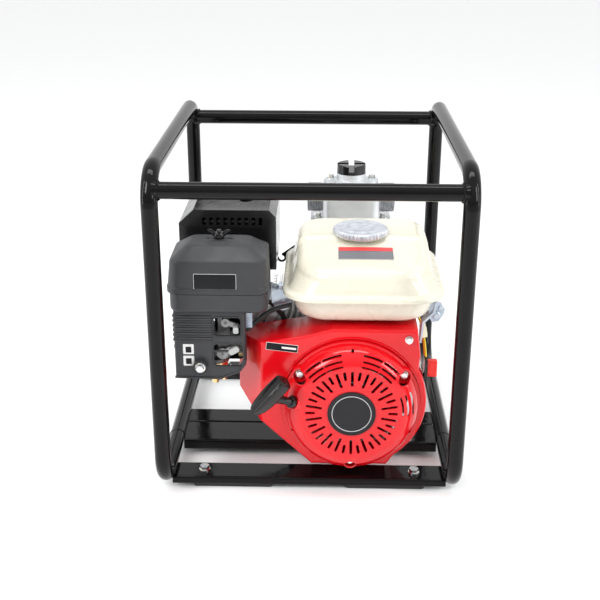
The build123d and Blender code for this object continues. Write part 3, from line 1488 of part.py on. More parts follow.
with BuildPart() as priming_plug:
    with BuildSketch(Plane.XY.offset(MANIFOLD_TOP_Z + 18.2)):
        with Locations((PUMP_X, MANIFOLD_Y)):
            Circle(23)
    extrude(amount=14.3)
    chamfer(priming_plug.edges().group_by(Axis.Z)[-1], 1)
    with BuildSketch(Plane.XY.offset(MANIFOLD_TOP_Z + 18.2 + 5.3)):
        with Locations((PUMP_X, MANIFOLD_Y)):
            Rectangle(60, 9)
            Rectangle(9, 60)
    extrude(amount=20, mode=Mode.SUBTRACT)
    with BuildSketch(Plane.XY.offset(MANIFOLD_TOP_Z + 4)):
        with Locations((PUMP_X, MANIFOLD_Y)):
            Circle(18)
            Circle(14, mode=Mode.SUBTRACT)
    extrude(amount=16)
priming_plug.part.label = "priming_plug"
export_step(priming_plug.part, "parts/priming_plug.step")

with BuildPart() as drain_plug:
    with BuildSketch(front_plane(CASING_REAR_Y + 0.2)):
        with Locations((CRANK_X, 50)):
            RegularPolygon(8, 6, major_radius=False)
    extrude(amount=-8)
    with BuildSketch(front_plane(CASING_REAR_Y + 0.2)):
        with Locations((CRANK_X, 50)):
            Circle(5.9)
    extrude(amount=8)
drain_plug.part.label = "drain_plug"
export_step(drain_plug.part, "parts/drain_plug.step")

with BuildPart() as manifold_bolts:
    for side in (-1, 1):
        base_seat = Plane(origin=(PUMP_X + side * 54, MANIFOLD_Y, MANIFOLD_BASE_Z + MANIFOLD_FLANGE))
        hex_flange_bolt(base_seat, 10, 5, 4, 14)
        cap_seat = Plane(origin=(PUMP_X + side * 33, MANIFOLD_Y, MANIFOLD_TOP_Z + 8))
        hex_flange_bolt(cap_seat, 9, 4.5, 3, 11)
manifold_bolts.part.label = "manifold_bolts"
export_step(manifold_bolts.part, "parts/manifold_bolts.step")
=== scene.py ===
"""Looks of a petrol-engine water pump in a tube frame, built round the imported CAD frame.

Metres, Z up, X to the viewer's right, Y from the recoil starter towards the pump.
"""
import math

import bmesh
import bpy
from mathutils import Matrix, Vector


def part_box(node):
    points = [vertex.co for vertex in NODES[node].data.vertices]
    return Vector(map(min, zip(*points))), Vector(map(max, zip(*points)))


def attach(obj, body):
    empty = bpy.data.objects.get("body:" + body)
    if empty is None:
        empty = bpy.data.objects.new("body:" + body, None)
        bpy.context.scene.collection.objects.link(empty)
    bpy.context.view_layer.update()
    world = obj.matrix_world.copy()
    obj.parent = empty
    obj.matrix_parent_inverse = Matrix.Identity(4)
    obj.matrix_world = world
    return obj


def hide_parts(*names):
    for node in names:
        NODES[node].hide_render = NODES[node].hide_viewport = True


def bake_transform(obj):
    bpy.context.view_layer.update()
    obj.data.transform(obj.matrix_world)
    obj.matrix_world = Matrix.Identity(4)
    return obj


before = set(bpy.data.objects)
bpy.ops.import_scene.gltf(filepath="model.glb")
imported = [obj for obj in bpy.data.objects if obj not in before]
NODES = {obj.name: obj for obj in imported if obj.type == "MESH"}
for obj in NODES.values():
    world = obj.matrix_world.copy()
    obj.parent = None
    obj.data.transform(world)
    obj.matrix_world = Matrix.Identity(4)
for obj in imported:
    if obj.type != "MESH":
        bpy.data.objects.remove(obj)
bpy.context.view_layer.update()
MM = 0.001


def mm(*values):
    """A point given in millimetres."""
    return Vector(values) * MM


# ---------------------------------------------------------------- camera, floor, light
CAMERA_PLACE = (0.0163, -1.4459, 0.7954)
CAMERA_RIGHT = (0.99971, 0.02423, 0.00206)
CAMERA_UP = (-0.01096, 0.37339, 0.92762)
CAMERA_FORWARD = (-0.02171, 0.92736, -0.37354)
CAMERA_LENS = 61.45


def make_camera():
    camera = bpy.data.objects.new("camera", bpy.data.cameras.new("camera"))
    camera.data.lens = CAMERA_LENS
    camera.data.sensor_width = 36.0
    camera.data.clip_end = 60.0
    axes = (Vector(CAMERA_RIGHT), Vector(CAMERA_UP), -Vector(CAMERA_FORWARD))
    turn = Matrix((axes[0], axes[1], axes[2])).transposed().to_4x4()
    camera.matrix_world = Matrix.Translation(CAMERA_PLACE) @ turn
    bpy.context.scene.collection.objects.link(camera)
    bpy.context.scene.camera = camera


def make_light(name, place, target, size, power, shape="RECTANGLE"):
    """A soft box at place that faces target; size is (width, height)."""
    lamp = bpy.data.lights.new(name, "AREA")
    lamp.shape = shape
    lamp.size, lamp.size_y = size
    lamp.energy = power
    obj = bpy.data.objects.new(name, lamp)
    obj.location = place
    obj.rotation_euler = (Vector(target) - Vector(place)).to_track_quat("-Z", "Y").to_euler()
    bpy.context.scene.collection.objects.link(obj)


TENT_LEAN = (0.0, 0.55, 1.0)
TENT_DIM = 0.42
TENT_BRIGHT = 1.0


def make_studio():
    scene = bpy.context.scene
    scene.view_settings.view_transform = "Standard"
    world = bpy.data.worlds.new("studio")
    world.use_nodes = True
    nodes, links = world.node_tree.nodes, world.node_tree.links
    # A white tent that is dim towards the front and bright above and behind
    place = nodes.new("ShaderNodeTexCoord")
    lean = nodes.new("ShaderNodeVectorMath")
    lean.operation = "DOT_PRODUCT"
    lean.inputs[1].default_value = TENT_LEAN
    share = nodes.new("ShaderNodeMapRange")
    share.inputs["From Min"].default_value = -0.5
    share.inputs["From Max"].default_value = 0.55
    share.inputs["To Min"].default_value = TENT_DIM
    share.inputs["To Max"].default_value = TENT_BRIGHT
    links.new(place.outputs["Generated"], lean.inputs[0])
    links.new(lean.outputs["Value"], share.inputs["Value"])
    links.new(share.outputs["Result"], nodes["Background"].inputs["Strength"])
    nodes["Background"].inputs["Color"].default_value = (1.0, 1.0, 1.0, 1.0)
    scene.world = world
    make_light("key", (-1.5, -1.7, 2.0), (0, 0, 0.25), (0.8, 1.3), 38)
    make_light("fill", (1.9, -1.5, 1.5), (0, 0, 0.2), (0.5, 1.5), 22)
    make_light("top", (0.0, -0.1, 2.3), (0, 0, 0.2), (1.8, 0.45), 15)
    make_light("left_strip", (-2.1, -0.5, 0.95), (0, 0, 0.3), (0.16, 1.7), 9)
    make_light("right_strip", (2.1, -0.5, 0.95), (0, 0, 0.3), (0.16, 1.7), 9)


# ---------------------------------------------------------------- materials
def surface(name, colour, rough, metallic=0.0, mottle=0.08, mottle_scale=16.0, tint=None,
            bumps=(), specks=None, coat=0.0, coat_rough=0.04, rough_scale=45.0, specular=0.5):
    """A Principled material with mottled colour, uneven roughness and bumps at several scales.

    rough is (lowest, highest); each bump is (texture, scale, height in metres);
    specks is (scale, share, colour, roughness) of small marks; tint is the mottling's other colour.
    """
    material = bpy.data.materials.new(name)
    material.use_nodes = True
    nodes, links = material.node_tree.nodes, material.node_tree.links
    shader = nodes["Principled BSDF"]
    shader.inputs["Metallic"].default_value = metallic
    shader.inputs["Coat Weight"].default_value = coat
    shader.inputs["Coat Roughness"].default_value = coat_rough
    shader.inputs["Specular IOR Level"].default_value = specular
    place = nodes.new("ShaderNodeTexCoord")

    def texture(kind, scale, detail=4.0):
        node = nodes.new("ShaderNodeTexVoronoi" if kind == "cells" else "ShaderNodeTexNoise")
        node.inputs["Scale"].default_value = scale
        node.inputs["Detail"].default_value = 0.0 if kind == "cells" else detail
        source = place.outputs["Object"]
        if kind == "brushed":
            stretch = nodes.new("ShaderNodeMapping")
            stretch.inputs["Scale"].default_value = (0.06, 1.0, 1.0)
            links.new(source, stretch.inputs["Vector"])
            source = stretch.outputs["Vector"]
        links.new(source, node.inputs["Vector"])
        return node.outputs["Distance" if kind == "cells" else "Fac"]

    def spread(value, low, high, start=0.32, end=0.68):
        node = nodes.new("ShaderNodeMapRange")
        node.inputs["From Min"].default_value = start
        node.inputs["From Max"].default_value = end
        node.inputs["To Min"].default_value = low
        node.inputs["To Max"].default_value = high
        links.new(value, node.inputs["Value"])
        return node.outputs["Result"]

    def blend(factor, first, second):
        node = nodes.new("ShaderNodeMix")
        node.data_type = "RGBA"
        links.new(factor, node.inputs["Factor"])
        for socket, value in ((node.inputs["A"], first), (node.inputs["B"], second)):
            if isinstance(value, bpy.types.NodeSocket):
                links.new(value, socket)
            else:
                socket.default_value = (*value, 1.0)
        return node.outputs["Result"]

    dark = [channel * (1 - mottle) for channel in colour]
    light = tint or [min(1.0, channel * (1 + mottle)) for channel in colour]
    paint = blend(spread(texture("noise", mottle_scale), 0.0, 1.0), dark, light)
    roughness = spread(texture("noise", rough_scale), *rough)
    if specks:
        scale, share, speck_colour, speck_rough = specks
        mask = spread(texture("noise", scale, 2.0), 0.0, 1.0, 1.0 - share, 1.03 - share)
        paint = blend(mask, paint, speck_colour)
        mixed = nodes.new("ShaderNodeMix")
        links.new(mask, mixed.inputs["Factor"])
        links.new(roughness, mixed.inputs["A"])
        mixed.inputs["B"].default_value = speck_rough
        roughness = mixed.outputs["Result"]
    links.new(paint, shader.inputs["Base Color"])
    links.new(roughness, shader.inputs["Roughness"])
    normal = None
    for kind, scale, height in bumps:
        bump = nodes.new("ShaderNodeBump")
        bump.inputs["Distance"].default_value = height
        bump.inputs["Strength"].default_value = 1.0
        links.new(texture(kind, scale), bump.inputs["Height"])
        if normal:
            links.new(normal, bump.inputs["Normal"])
        normal = bump.outputs["Normal"]
    if normal:
        links.new(normal, shader.inputs["Normal"])
    return material


FRAME_PAINT = surface("frame_enamel", (0.0030, 0.0026, 0.0030), (0.05, 0.12), mottle=0.3, mottle_scale=30,
                      bumps=(("noise", 120, 0.00012), ("noise", 420, 0.00002)),
                      specks=(1300, 0.24, (0.010, 0.010, 0.010), 0.25), specular=0.21)
RED_PAINT = surface("red_enamel", (0.70, 0.0035, 0.009), (0.14, 0.22), mottle=0.06,
                    bumps=(("noise", 170, 0.00010), ("noise", 60, 0.0001)),
                    specks=(1400, 0.24, (0.5, 0.02, 0.02), 0.4), coat=0.35, coat_rough=0.03, specular=0.3)
CREAM_PAINT = surface("cream_enamel", (0.715, 0.68, 0.55), (0.22, 0.32), mottle=0.03,
                      tint=(0.735, 0.705, 0.585), bumps=(("noise", 180, 0.00008), ("noise", 900, 0.00001)),
                      specks=(1100, 0.24, (0.62, 0.58, 0.44), 0.5), coat=0.5, coat_rough=0.05)
CLEANER_PLASTIC = surface("cleaner_plastic", (0.036, 0.037, 0.040), (0.38, 0.52), mottle=0.12,
                          bumps=(("cells", 900, 0.00006), ("noise", 2600, 0.00003)),
                          specks=(1700, 0.28, (0.085, 0.085, 0.085), 0.6), specular=0.4)
BLACK_PLASTIC = surface("black_plastic", (0.006, 0.006, 0.0065), (0.10, 0.20), mottle=0.2,
                        bumps=(("noise", 1200, 0.00001), ("noise", 60, 0.00004)),
                        specks=(1500, 0.26, (0.025, 0.025, 0.025), 0.4), specular=0.4)
MUFFLER_PAINT = surface("muffler_paint", (0.006, 0.006, 0.0065), (0.14, 0.28), mottle=0.25,
                        bumps=(("noise", 900, 0.00005), ("noise", 120, 0.00008)),
                        specks=(1300, 0.28, (0.035, 0.034, 0.032), 0.5), coat=0.35, coat_rough=0.12)
CAST_ALUMINIUM = surface("blasted_aluminium", (0.70, 0.72, 0.74), (0.42, 0.6), metallic=0.75, mottle=0.1,
                         bumps=(("noise", 1500, 0.00011), ("cells", 700, 0.00008), ("noise", 80, 0.0002)),
                         specks=(1900, 0.32, (0.34, 0.35, 0.36), 0.7))
PUMP_ALUMINIUM = surface("pump_aluminium", (0.52, 0.53, 0.54), (0.38, 0.56), metallic=0.8, mottle=0.12,
                         bumps=(("noise", 900, 0.00013), ("cells", 380, 0.0001)),
                         specks=(1200, 0.31, (0.28, 0.28, 0.29), 0.7))
BRIGHT_STEEL = surface("bright_zinc", (0.70, 0.74, 0.80), (0.12, 0.3), metallic=1.0, mottle=0.1,
                       mottle_scale=140, tint=(0.82, 0.80, 0.72),
                       bumps=(("brushed", 1400, 0.00002), ("noise", 500, 0.00003)),
                       specks=(1500, 0.27, (0.4, 0.4, 0.38), 0.5))
PORT_ALUMINIUM = surface("port_aluminium", (0.42, 0.43, 0.45), (0.34, 0.5), metallic=0.75, mottle=0.12,
                         bumps=(("noise", 1500, 0.00006), ("cells", 700, 0.00004)),
                         specks=(1900, 0.3, (0.26, 0.27, 0.28), 0.7))
GROUND_STEEL = surface("ground_steel", (0.56, 0.56, 0.58), (0.18, 0.34), metallic=1.0,
                       bumps=(("brushed", 2200, 0.00002), ("noise", 700, 0.00002)))
CAST_IRON = surface("cast_iron", (0.16, 0.16, 0.165), (0.5, 0.7), metallic=0.6, mottle=0.2,
                    bumps=(("noise", 900, 0.00015), ("cells", 500, 0.0001)),
                    specks=(1000, 0.3, (0.18, 0.1, 0.06), 0.8))
BRASS = surface("passivated_brass", (0.78, 0.56, 0.22), (0.2, 0.36), metallic=1.0, mottle=0.12,
                mottle_scale=90, tint=(0.85, 0.70, 0.38), bumps=(("noise", 700, 0.00004),))
RUBBER = surface("rubber", (0.022, 0.022, 0.022), (0.6, 0.8), mottle=0.25,
                 bumps=(("noise", 1300, 0.00006), ("noise", 260, 0.0001)),
                 specks=(900, 0.3, (0.07, 0.068, 0.065), 0.9))
FOAM = surface("filter_foam", (0.10, 0.10, 0.095), (0.85, 0.98), mottle=0.4, mottle_scale=300,
               bumps=(("cells", 500, 0.0008), ("noise", 900, 0.0004)))
LEVER_PLASTIC = surface("lever_plastic", (0.42, 0.43, 0.42), (0.3, 0.45), mottle=0.06,
                        bumps=(("noise", 900, 0.00003),), specks=(1400, 0.26, (0.4, 0.4, 0.4), 0.6))
ZINC_PLATE = surface("zinc_plate", (0.46, 0.56, 0.70), (0.28, 0.45), metallic=0.55, mottle=0.14, mottle_scale=90,
                     tint=(0.66, 0.72, 0.78), bumps=(("noise", 600, 0.00004), ("noise", 90, 0.00008)),
                     specks=(1300, 0.27, (0.35, 0.38, 0.42), 0.5))
CARBURETTOR_METAL = surface("carburettor_metal", (0.20, 0.20, 0.195), (0.4, 0.55), metallic=0.7, mottle=0.15,
                            bumps=(("noise", 1200, 0.0001), ("cells", 500, 0.00006)),
                            specks=(1500, 0.3, (0.10, 0.10, 0.10), 0.7))
CAP_PLATE = surface("cap_plate", (0.56, 0.60, 0.67), (0.30, 0.46), metallic=0.65, mottle=0.10, mottle_scale=120,
                    tint=(0.74, 0.76, 0.80), bumps=(("noise", 420, 0.00010), ("noise", 120, 0.00014)),
                    specks=(900, 0.30, (0.5, 0.53, 0.58), 0.5))
BADGE = surface("badge_disc", (0.014, 0.014, 0.016), (0.3, 0.42), mottle=0.12,
                bumps=(("noise", 1800, 0.00002),), specks=(1500, 0.26, (0.04, 0.04, 0.04), 0.5), specular=0.25)
LABEL_WHITE = surface("label_white", (0.80, 0.80, 0.79), (0.3, 0.45), mottle=0.04,
                      bumps=(("noise", 500, 0.00002),))
LABEL_SILVER = surface("label_silver", (0.55, 0.56, 0.58), (0.3, 0.45), metallic=0.4, mottle=0.06,
                       bumps=(("noise", 500, 0.00002),))
LABEL_BLACK = surface("label_black", (0.004, 0.0045, 0.006), (0.3, 0.45), mottle=0.2,
                      bumps=(("noise", 500, 0.00002),), specular=0.25)
LABEL_RED = surface("label_red", (0.72, 0.05, 0.05), (0.3, 0.45), mottle=0.06,
                    bumps=(("noise", 500, 0.00002),))
LABEL_GREY = surface("label_grey", (0.16, 0.16, 0.18), (0.3, 0.45), mottle=0.06,
                     bumps=(("noise", 500, 0.00002),))
YELLOW_SLEEVE = surface("yellow_sleeve", (0.80, 0.62, 0.03), (0.3, 0.45), mottle=0.08,
                        bumps=(("noise", 700, 0.00004),))
RED_PLASTIC = surface("red_plastic", (0.80, 0.025, 0.015), (0.22, 0.36), mottle=0.06,
                      bumps=(("noise", 1100, 0.00002),), specks=(1500, 0.26, (0.6, 0.1, 0.08), 0.5))
CERAMIC = surface("plug_ceramic", (0.80, 0.80, 0.77), (0.1, 0.2), mottle=0.03, bumps=(("noise", 400, 0.00002),))
NATURAL_PLASTIC = surface("natural_plastic", (0.76, 0.73, 0.55), (0.3, 0.45), mottle=0.06,
                          bumps=(("noise", 700, 0.00003),))
ROPE = surface("rope_braid", (0.55, 0.53, 0.48), (0.7, 0.9), mottle=0.3, mottle_scale=700,
               bumps=(("cells", 900, 0.0003),))

NODE_MATERIALS = (
    (FRAME_PAINT, "frame_hoop_left frame_hoop_right frame_cross_bar_front frame_cross_bar_rear "
                  "end_channels engine_channels throttle_lever"),
    (RUBBER, "rubber_feet fuel_hose ignition_lead suction_flap"),
    (BRIGHT_STEEL, "frame_bolts housing_bolts manifold_bolts governor_bracket governor_springs "
                   "drain_plug fuel_cap"),
    (ZINC_PLATE, "tank_brackets"),
    (CAST_ALUMINIUM, "crankcase crankcase_cover cylinder_head discharge_manifold threaded_ports "
                     "piston manifold_cap"),
    (PUMP_ALUMINIUM, "pump_casing pump_bracket"),
    (GROUND_STEEL, "crank_bearings crankshaft starter_cup mechanical_seal"),
    (CAST_IRON, "flywheel impeller"),
    (RED_PAINT, "fan_housing recoil_housing"),
    (CREAM_PAINT, "fuel_tank"),
    (BLACK_PLASTIC, "pull_handle engine_switch oil_dipstick priming_plug rope_reel spark_plug_cap"),
    (LEVER_PLASTIC, "fuel_lever choke_lever"),
    (RED_PLASTIC, "switch_knob"),
    (CLEANER_PLASTIC, "air_cleaner_cover air_cleaner_base"),
    (FOAM, "air_filter_element"),
    (MUFFLER_PAINT, "muffler_guard muffler valve_cover wing_nut"),
    (CARBURETTOR_METAL, "carburettor lever_pins"),
    (BRASS, "float_bowl"),
    (BADGE, "recoil_badge"),
    (CERAMIC, "spark_plug"),
    (YELLOW_SLEEVE, "switch_wires"),
)


def paint_nodes():
    """Gives every CAD node its material."""
    for material, names in NODE_MATERIALS:
        for name in names.split():
            slots = NODES[name].data.materials
            slots.clear()
            slots.append(material)


# ---------------------------------------------------------------- mesh helpers
SHARP = math.radians(32)


def add_mesh(name, points, faces, material, body="root", sharp=SHARP, bevel=0.0, replaces=(), slot=None):
    """A mesh piece that rides on a body, smooth but for edges sharper than `sharp`."""
    data = bpy.data.meshes.new(name)
    data.from_pydata([tuple(point) for point in points], [], faces)
    data.materials.append(material)
    shape = bmesh.new()
    shape.from_mesh(data)
    bmesh.ops.recalc_face_normals(shape, faces=shape.faces)
    shape.to_mesh(data)
    shape.free()
    data.polygons.foreach_set("use_smooth", [True] * len(data.polygons))
    if sharp:
        data.set_sharp_from_angle(angle=sharp)
    piece = bpy.data.objects.new(name, data)
    bpy.context.scene.collection.objects.link(piece)
    if bevel:
        edge = piece.modifiers.new("bevel", "BEVEL")
        edge.width = bevel
        edge.segments = 2
        edge.limit_method = "ANGLE"
        edge.harden_normals = True
    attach(piece, body)
    if replaces:
        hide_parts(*replaces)
    return piece


def bridge(rings, close_start=True, close_end=True, loop=False):
    """Points and faces of a skin over rings with equally many points each."""
    count = len(rings[0])
    points = [point for ring in rings for point in ring]
    faces = []
    for level in range(len(rings) - (0 if loop else 1)):
        low, high = level * count, (level + 1) % len(rings) * count
        for step in range(count):
            after = (step + 1) % count
            faces.append((low + step, low + after, high + after, high + step))
    if not loop and close_start:
        faces.append(tuple(range(count))[::-1])
    if not loop and close_end:
        faces.append(tuple(range((len(rings) - 1) * count, len(rings) * count)))
    return points, faces


def rounded(width, depth, radius, arc=7, straight=8):
    """Points round a rectangle about the origin with rounded corners, anticlockwise."""
    radius = min(radius, width / 2 - 1e-5, depth / 2 - 1e-5)
    points = []
    for turn, (side_x, side_y) in enumerate(((1, -1), (1, 1), (-1, 1), (-1, -1))):
        centre = Vector((side_x * (width / 2 - radius), side_y * (depth / 2 - radius)))
        for step in range(arc + 1):
            angle = math.radians(-90 + 90 * turn + 90 * step / arc)
            points.append(centre + radius * Vector((math.cos(angle), math.sin(angle))))
        run = (depth if turn % 2 == 0 else width) - 2 * radius
        along = Vector((0, side_x)) if turn % 2 == 0 else Vector((-side_y, 0))
        last = points[-1]
        points.extend(last + along * run * step / straight for step in range(1, straight))
    return points


def placed(ring, centre, height):
    """A flat ring moved to a centre, with its height given as a number or worked out for each point."""
    rise = height if callable(height) else lambda x, y: height
    return [Vector((centre[0] + p.x, centre[1] + p.y, rise(centre[0] + p.x, centre[1] + p.y))) for p in ring]


def axis_frame(origin, axis, up=(0, 0, 1)):
    """A matrix whose local Z runs along axis from origin."""
    z = Vector(axis).normalized()
    x = Vector(up).cross(z)
    if x.length < 1e-4:
        x = Vector((1, 0, 0))
    x.normalize()
    turn = Matrix((x, z.cross(x), z)).transposed().to_4x4()
    return Matrix.Translation(origin) @ turn


def turned(profile, place, count=72):
    """Points and faces of a profile of (radius, height) turned about local Z of a matrix."""
    rings = []
    for radius, height in profile:
        ring = []
        for step in range(count):
            angle = math.tau * step / count
            ring.append(place @ Vector((radius * math.cos(angle), radius * math.sin(angle), height)))
        rings.append(ring)
    return bridge(rings)


def join(*parts):
    """Several (points, faces) as one."""
    points, faces = [], []
    for more_points, more_faces in parts:
        start = len(points)
        points.extend(more_points)
        faces.extend(tuple(index + start for index in face) for face in more_faces)
    return points, faces


def block(size, place):
    """Points and faces of a box of this size about the origin of a matrix."""
    half = Vector(size) / 2
    signs = ((-1, -1), (1, -1), (1, 1), (-1, 1))
    rings = [[place @ Vector((x * half.x, y * half.y, z * half.z)) for x, y in signs] for z in (-1, 1)]
    return bridge(rings)


def smooth_step(value, low, high):
    share = min(1.0, max(0.0, (value - low) / (high - low)))
    return share * share * (3 - 2 * share)


def add_tube(name, points, radius, material, body="root", replaces=(), resolution=8):
    """A round tube along a smooth curve through given points."""
    curve = bpy.data.curves.new(name, "CURVE")
    curve.dimensions = "3D"
    curve.bevel_depth = radius
    curve.bevel_resolution = 5
    curve.use_fill_caps = True
    spline = curve.splines.new("NURBS")
    spline.points.add(len(points) - 1)
    for point, place in zip(spline.points, points):
        point.co = (*place, 1.0)
    spline.order_u = 3
    spline.use_endpoint_u = True
    spline.resolution_u = resolution
    curve.materials.append(material)
    piece = bpy.data.objects.new(name, curve)
    bpy.context.scene.collection.objects.link(piece)
    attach(piece, body)
    if replaces:
        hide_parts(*replaces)
    return piece


def hex_bolt(place, flats, head, flange=1.36):
    """Points and faces of a flange bolt's head: washer face, chamfered hexagon and dished top."""
    washer = turned([(flats * flange / 2, 0), (flats * flange / 2, 0.0008), (flats * 0.56, 0.0016)], place, 36)
    rings = []
    levels = ((1.0, 0.0012), (1.0, head - 0.0007), (0.93, head), (0.6, head), (0.52, head - 0.0005))
    for share, height in levels:
        ring = []
        for step in range(6):
            angle = math.tau * step / 6
            radius = flats / math.sqrt(3) * share
            ring.append(place @ Vector((radius * math.cos(angle), radius * math.sin(angle), height)))
        rings.append(ring)
    return join(washer, bridge(rings))


# ---------------------------------------------------------------- fuel tank and its cap
TANK_LOW, TANK_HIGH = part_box("fuel_tank")
CAP_LOW, CAP_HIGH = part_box("fuel_cap")
CAP_AT = (CAP_LOW + CAP_HIGH) / 2
LIP_Z = 0.2865
LIP_OUT = 0.009
TANK_WALL_TOP = 0.319
TANK_SHOULDER_Y = -0.078
TANK_PLATEAU_Z = 0.3415
TANK_REAR_Y = 0.016


def tank_roof(x, y):
    """Height of the tank's top: a slope up from the front to a raised rear."""
    centre_x = (TANK_LOW.x + TANK_HIGH.x) / 2
    front_y = TANK_LOW.y + LIP_OUT
    share = (y - front_y) / (TANK_SHOULDER_Y - front_y)
    slope = TANK_WALL_TOP + 0.0165 * min(1.0, max(0.0, share))
    crown = 0.0022 * (1 - ((x - centre_x) / 0.1) ** 2)
    step = smooth_step(y, TANK_SHOULDER_Y - 0.005, TANK_SHOULDER_Y + 0.005)
    height = slope + crown
    height += step * (TANK_PLATEAU_Z - height)
    fall = smooth_step(y, TANK_REAR_Y - 0.01, TANK_HIGH.y - 0.004)
    return height - 0.024 * fall


def make_tank():
    centre = ((TANK_LOW.x + TANK_HIGH.x) / 2, (TANK_LOW.y + TANK_HIGH.y) / 2)
    width, depth = TANK_HIGH.x - TANK_LOW.x, TANK_HIGH.y - TANK_LOW.y

    def ring(inset, radius, height, aside=0.0):
        shape = rounded(width - 2 * inset - 2 * aside, depth - 2 * inset, radius, arc=12, straight=26)
        return placed(shape, centre, height)

    rings = []
    # Lower pan, from its floor up to the joint
    for inset, radius, height in ((0.075, 0.02, 0.2455), (0.034, 0.034, 0.2452), (0.027, 0.036, 0.2472),
                                  (0.0205, 0.037, 0.2525), (0.017, 0.038, 0.2600), (0.0135, 0.0385, 0.272),
                                  (0.0112, 0.039, 0.2805), (0.0098, 0.0395, 0.2832), (0.006, 0.041, 0.2842),
                                  (0.0028, 0.0425, 0.2838), (0.0008, 0.0435, 0.2820), (0.0, 0.044, 0.2826),
                                  (0.0, 0.044, 0.2872), (0.0012, 0.0435, 0.2886), (0.0045, 0.042, 0.2888),
                                  (0.0075, 0.0405, 0.2893), (0.0092, 0.0395, 0.2915)):
        rings.append(ring(inset, radius, height))
    # Upper shell: a leaning wall, a rounded shoulder, then the roof in rings that shrink to its middle
    wall, lean, shoulder, corner = 0.0098, 0.0075, 0.013, 0.052
    for share in (0.25, 0.5, 0.75, 0.9):
        rings.append(ring(wall + 0.0012 * share, 0.039 + (corner - 0.039) * share,
                          lambda x, y, share=share: 0.2915 + share * (tank_roof(x, y) - shoulder - 0.2915),
                          lean * share))
    for step in range(8):
        angle = math.radians(90 * step / 7)
        curl = shoulder * (1 - math.cos(angle))
        drop = shoulder * (1 - math.sin(angle))
        rings.append(ring(wall + 0.0012 + curl, corner - 0.4 * curl,
                          lambda x, y, drop=drop: tank_roof(x, y) - drop, lean + 0.3 * curl))
    inner = wall + 0.0012 + shoulder
    aside = lean + 0.3 * shoulder
    roof_rings = 30
    half = min(width - 2 * aside, depth) / 2
    for step in range(1, roof_rings + 1):
        share = step / roof_rings * 0.985
        inset = inner + (half - inner) * share
        rings.append(ring(inset, max(0.0008, (corner - 0.005) * (1 - share)), tank_roof, aside))
    points, faces = bridge(rings)
    neck = turned([(0.026, 0.0), (0.0352, 0.0), (0.0352, 0.0009), (0.034, 0.0018), (0.026, 0.0018)],
                  axis_frame((CAP_AT.x, CAP_AT.y, TANK_PLATEAU_Z - 0.0012), (0, 0, 1)))
    return add_mesh("tank_shells", *join((points, faces), neck), CREAM_PAINT, sharp=math.radians(50),
                    replaces=("fuel_tank",), slot="cream_paint")


def make_cap():
    base = CAP_LOW.z + 0.0081
    top = CAP_HIGH.z
    radius = (CAP_HIGH.x - CAP_LOW.x) / 2
    notches = 44
    count = notches * 6

    def rim(share, height, depth):
        ring = []
        for step in range(count):
            phase = (step % 6) / 6
            cut = depth if phase in (0.0, 1 / 6) else depth * 0.35 if phase in (2 / 6, 5 / 6) else 0.0
            angle = math.tau * step / count
            out = radius * share - cut
            ring.append(Vector((CAP_AT.x + out * math.cos(angle), CAP_AT.y + out * math.sin(angle), height)))
        return ring

    rings = [rim(0.3, base + 0.0006, 0), rim(0.93, base + 0.0006, 0), rim(0.985, base, 0.001),
             rim(1.0, base + 0.0008, 0.0016), rim(1.0, top - 0.0032, 0.0016), rim(0.985, top - 0.0016, 0.0014),
             rim(0.95, top - 0.0005, 0.0005), rim(0.90, top, 0), rim(0.84, top - 0.0002, 0),
             rim(0.80, top - 0.0011, 0), rim(0.62, top - 0.0013, 0), rim(0.58, top - 0.0005, 0),
             rim(0.50, top - 0.0003, 0), rim(0.46, top - 0.0010, 0), rim(0.2, top - 0.0008, 0),
             rim(0.02, top - 0.0006, 0)]
    points, faces = bridge(rings)
    collar = turned([(0.0266, -0.0081), (0.0266, 0.0010), (0.024, 0.0010), (0.024, -0.0081)],
                    axis_frame((CAP_AT.x, CAP_AT.y, base), (0, 0, 1)))
    return add_mesh("tank_cap_pressing", *join((points, faces), collar), CAP_PLATE, "tank_cap",
                    replaces=("fuel_cap",), slot="cap_metal")


# ---------------------------------------------------------------- air cleaner
COVER_LOW, COVER_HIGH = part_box("air_cleaner_cover")
BASE_LOW, BASE_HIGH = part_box("air_cleaner_base")
STUD_AT = (-0.123, -0.142)
COVER_SPLIT = 0.295
COVER_TOP = 0.3565
COVER_BROW = 0.341


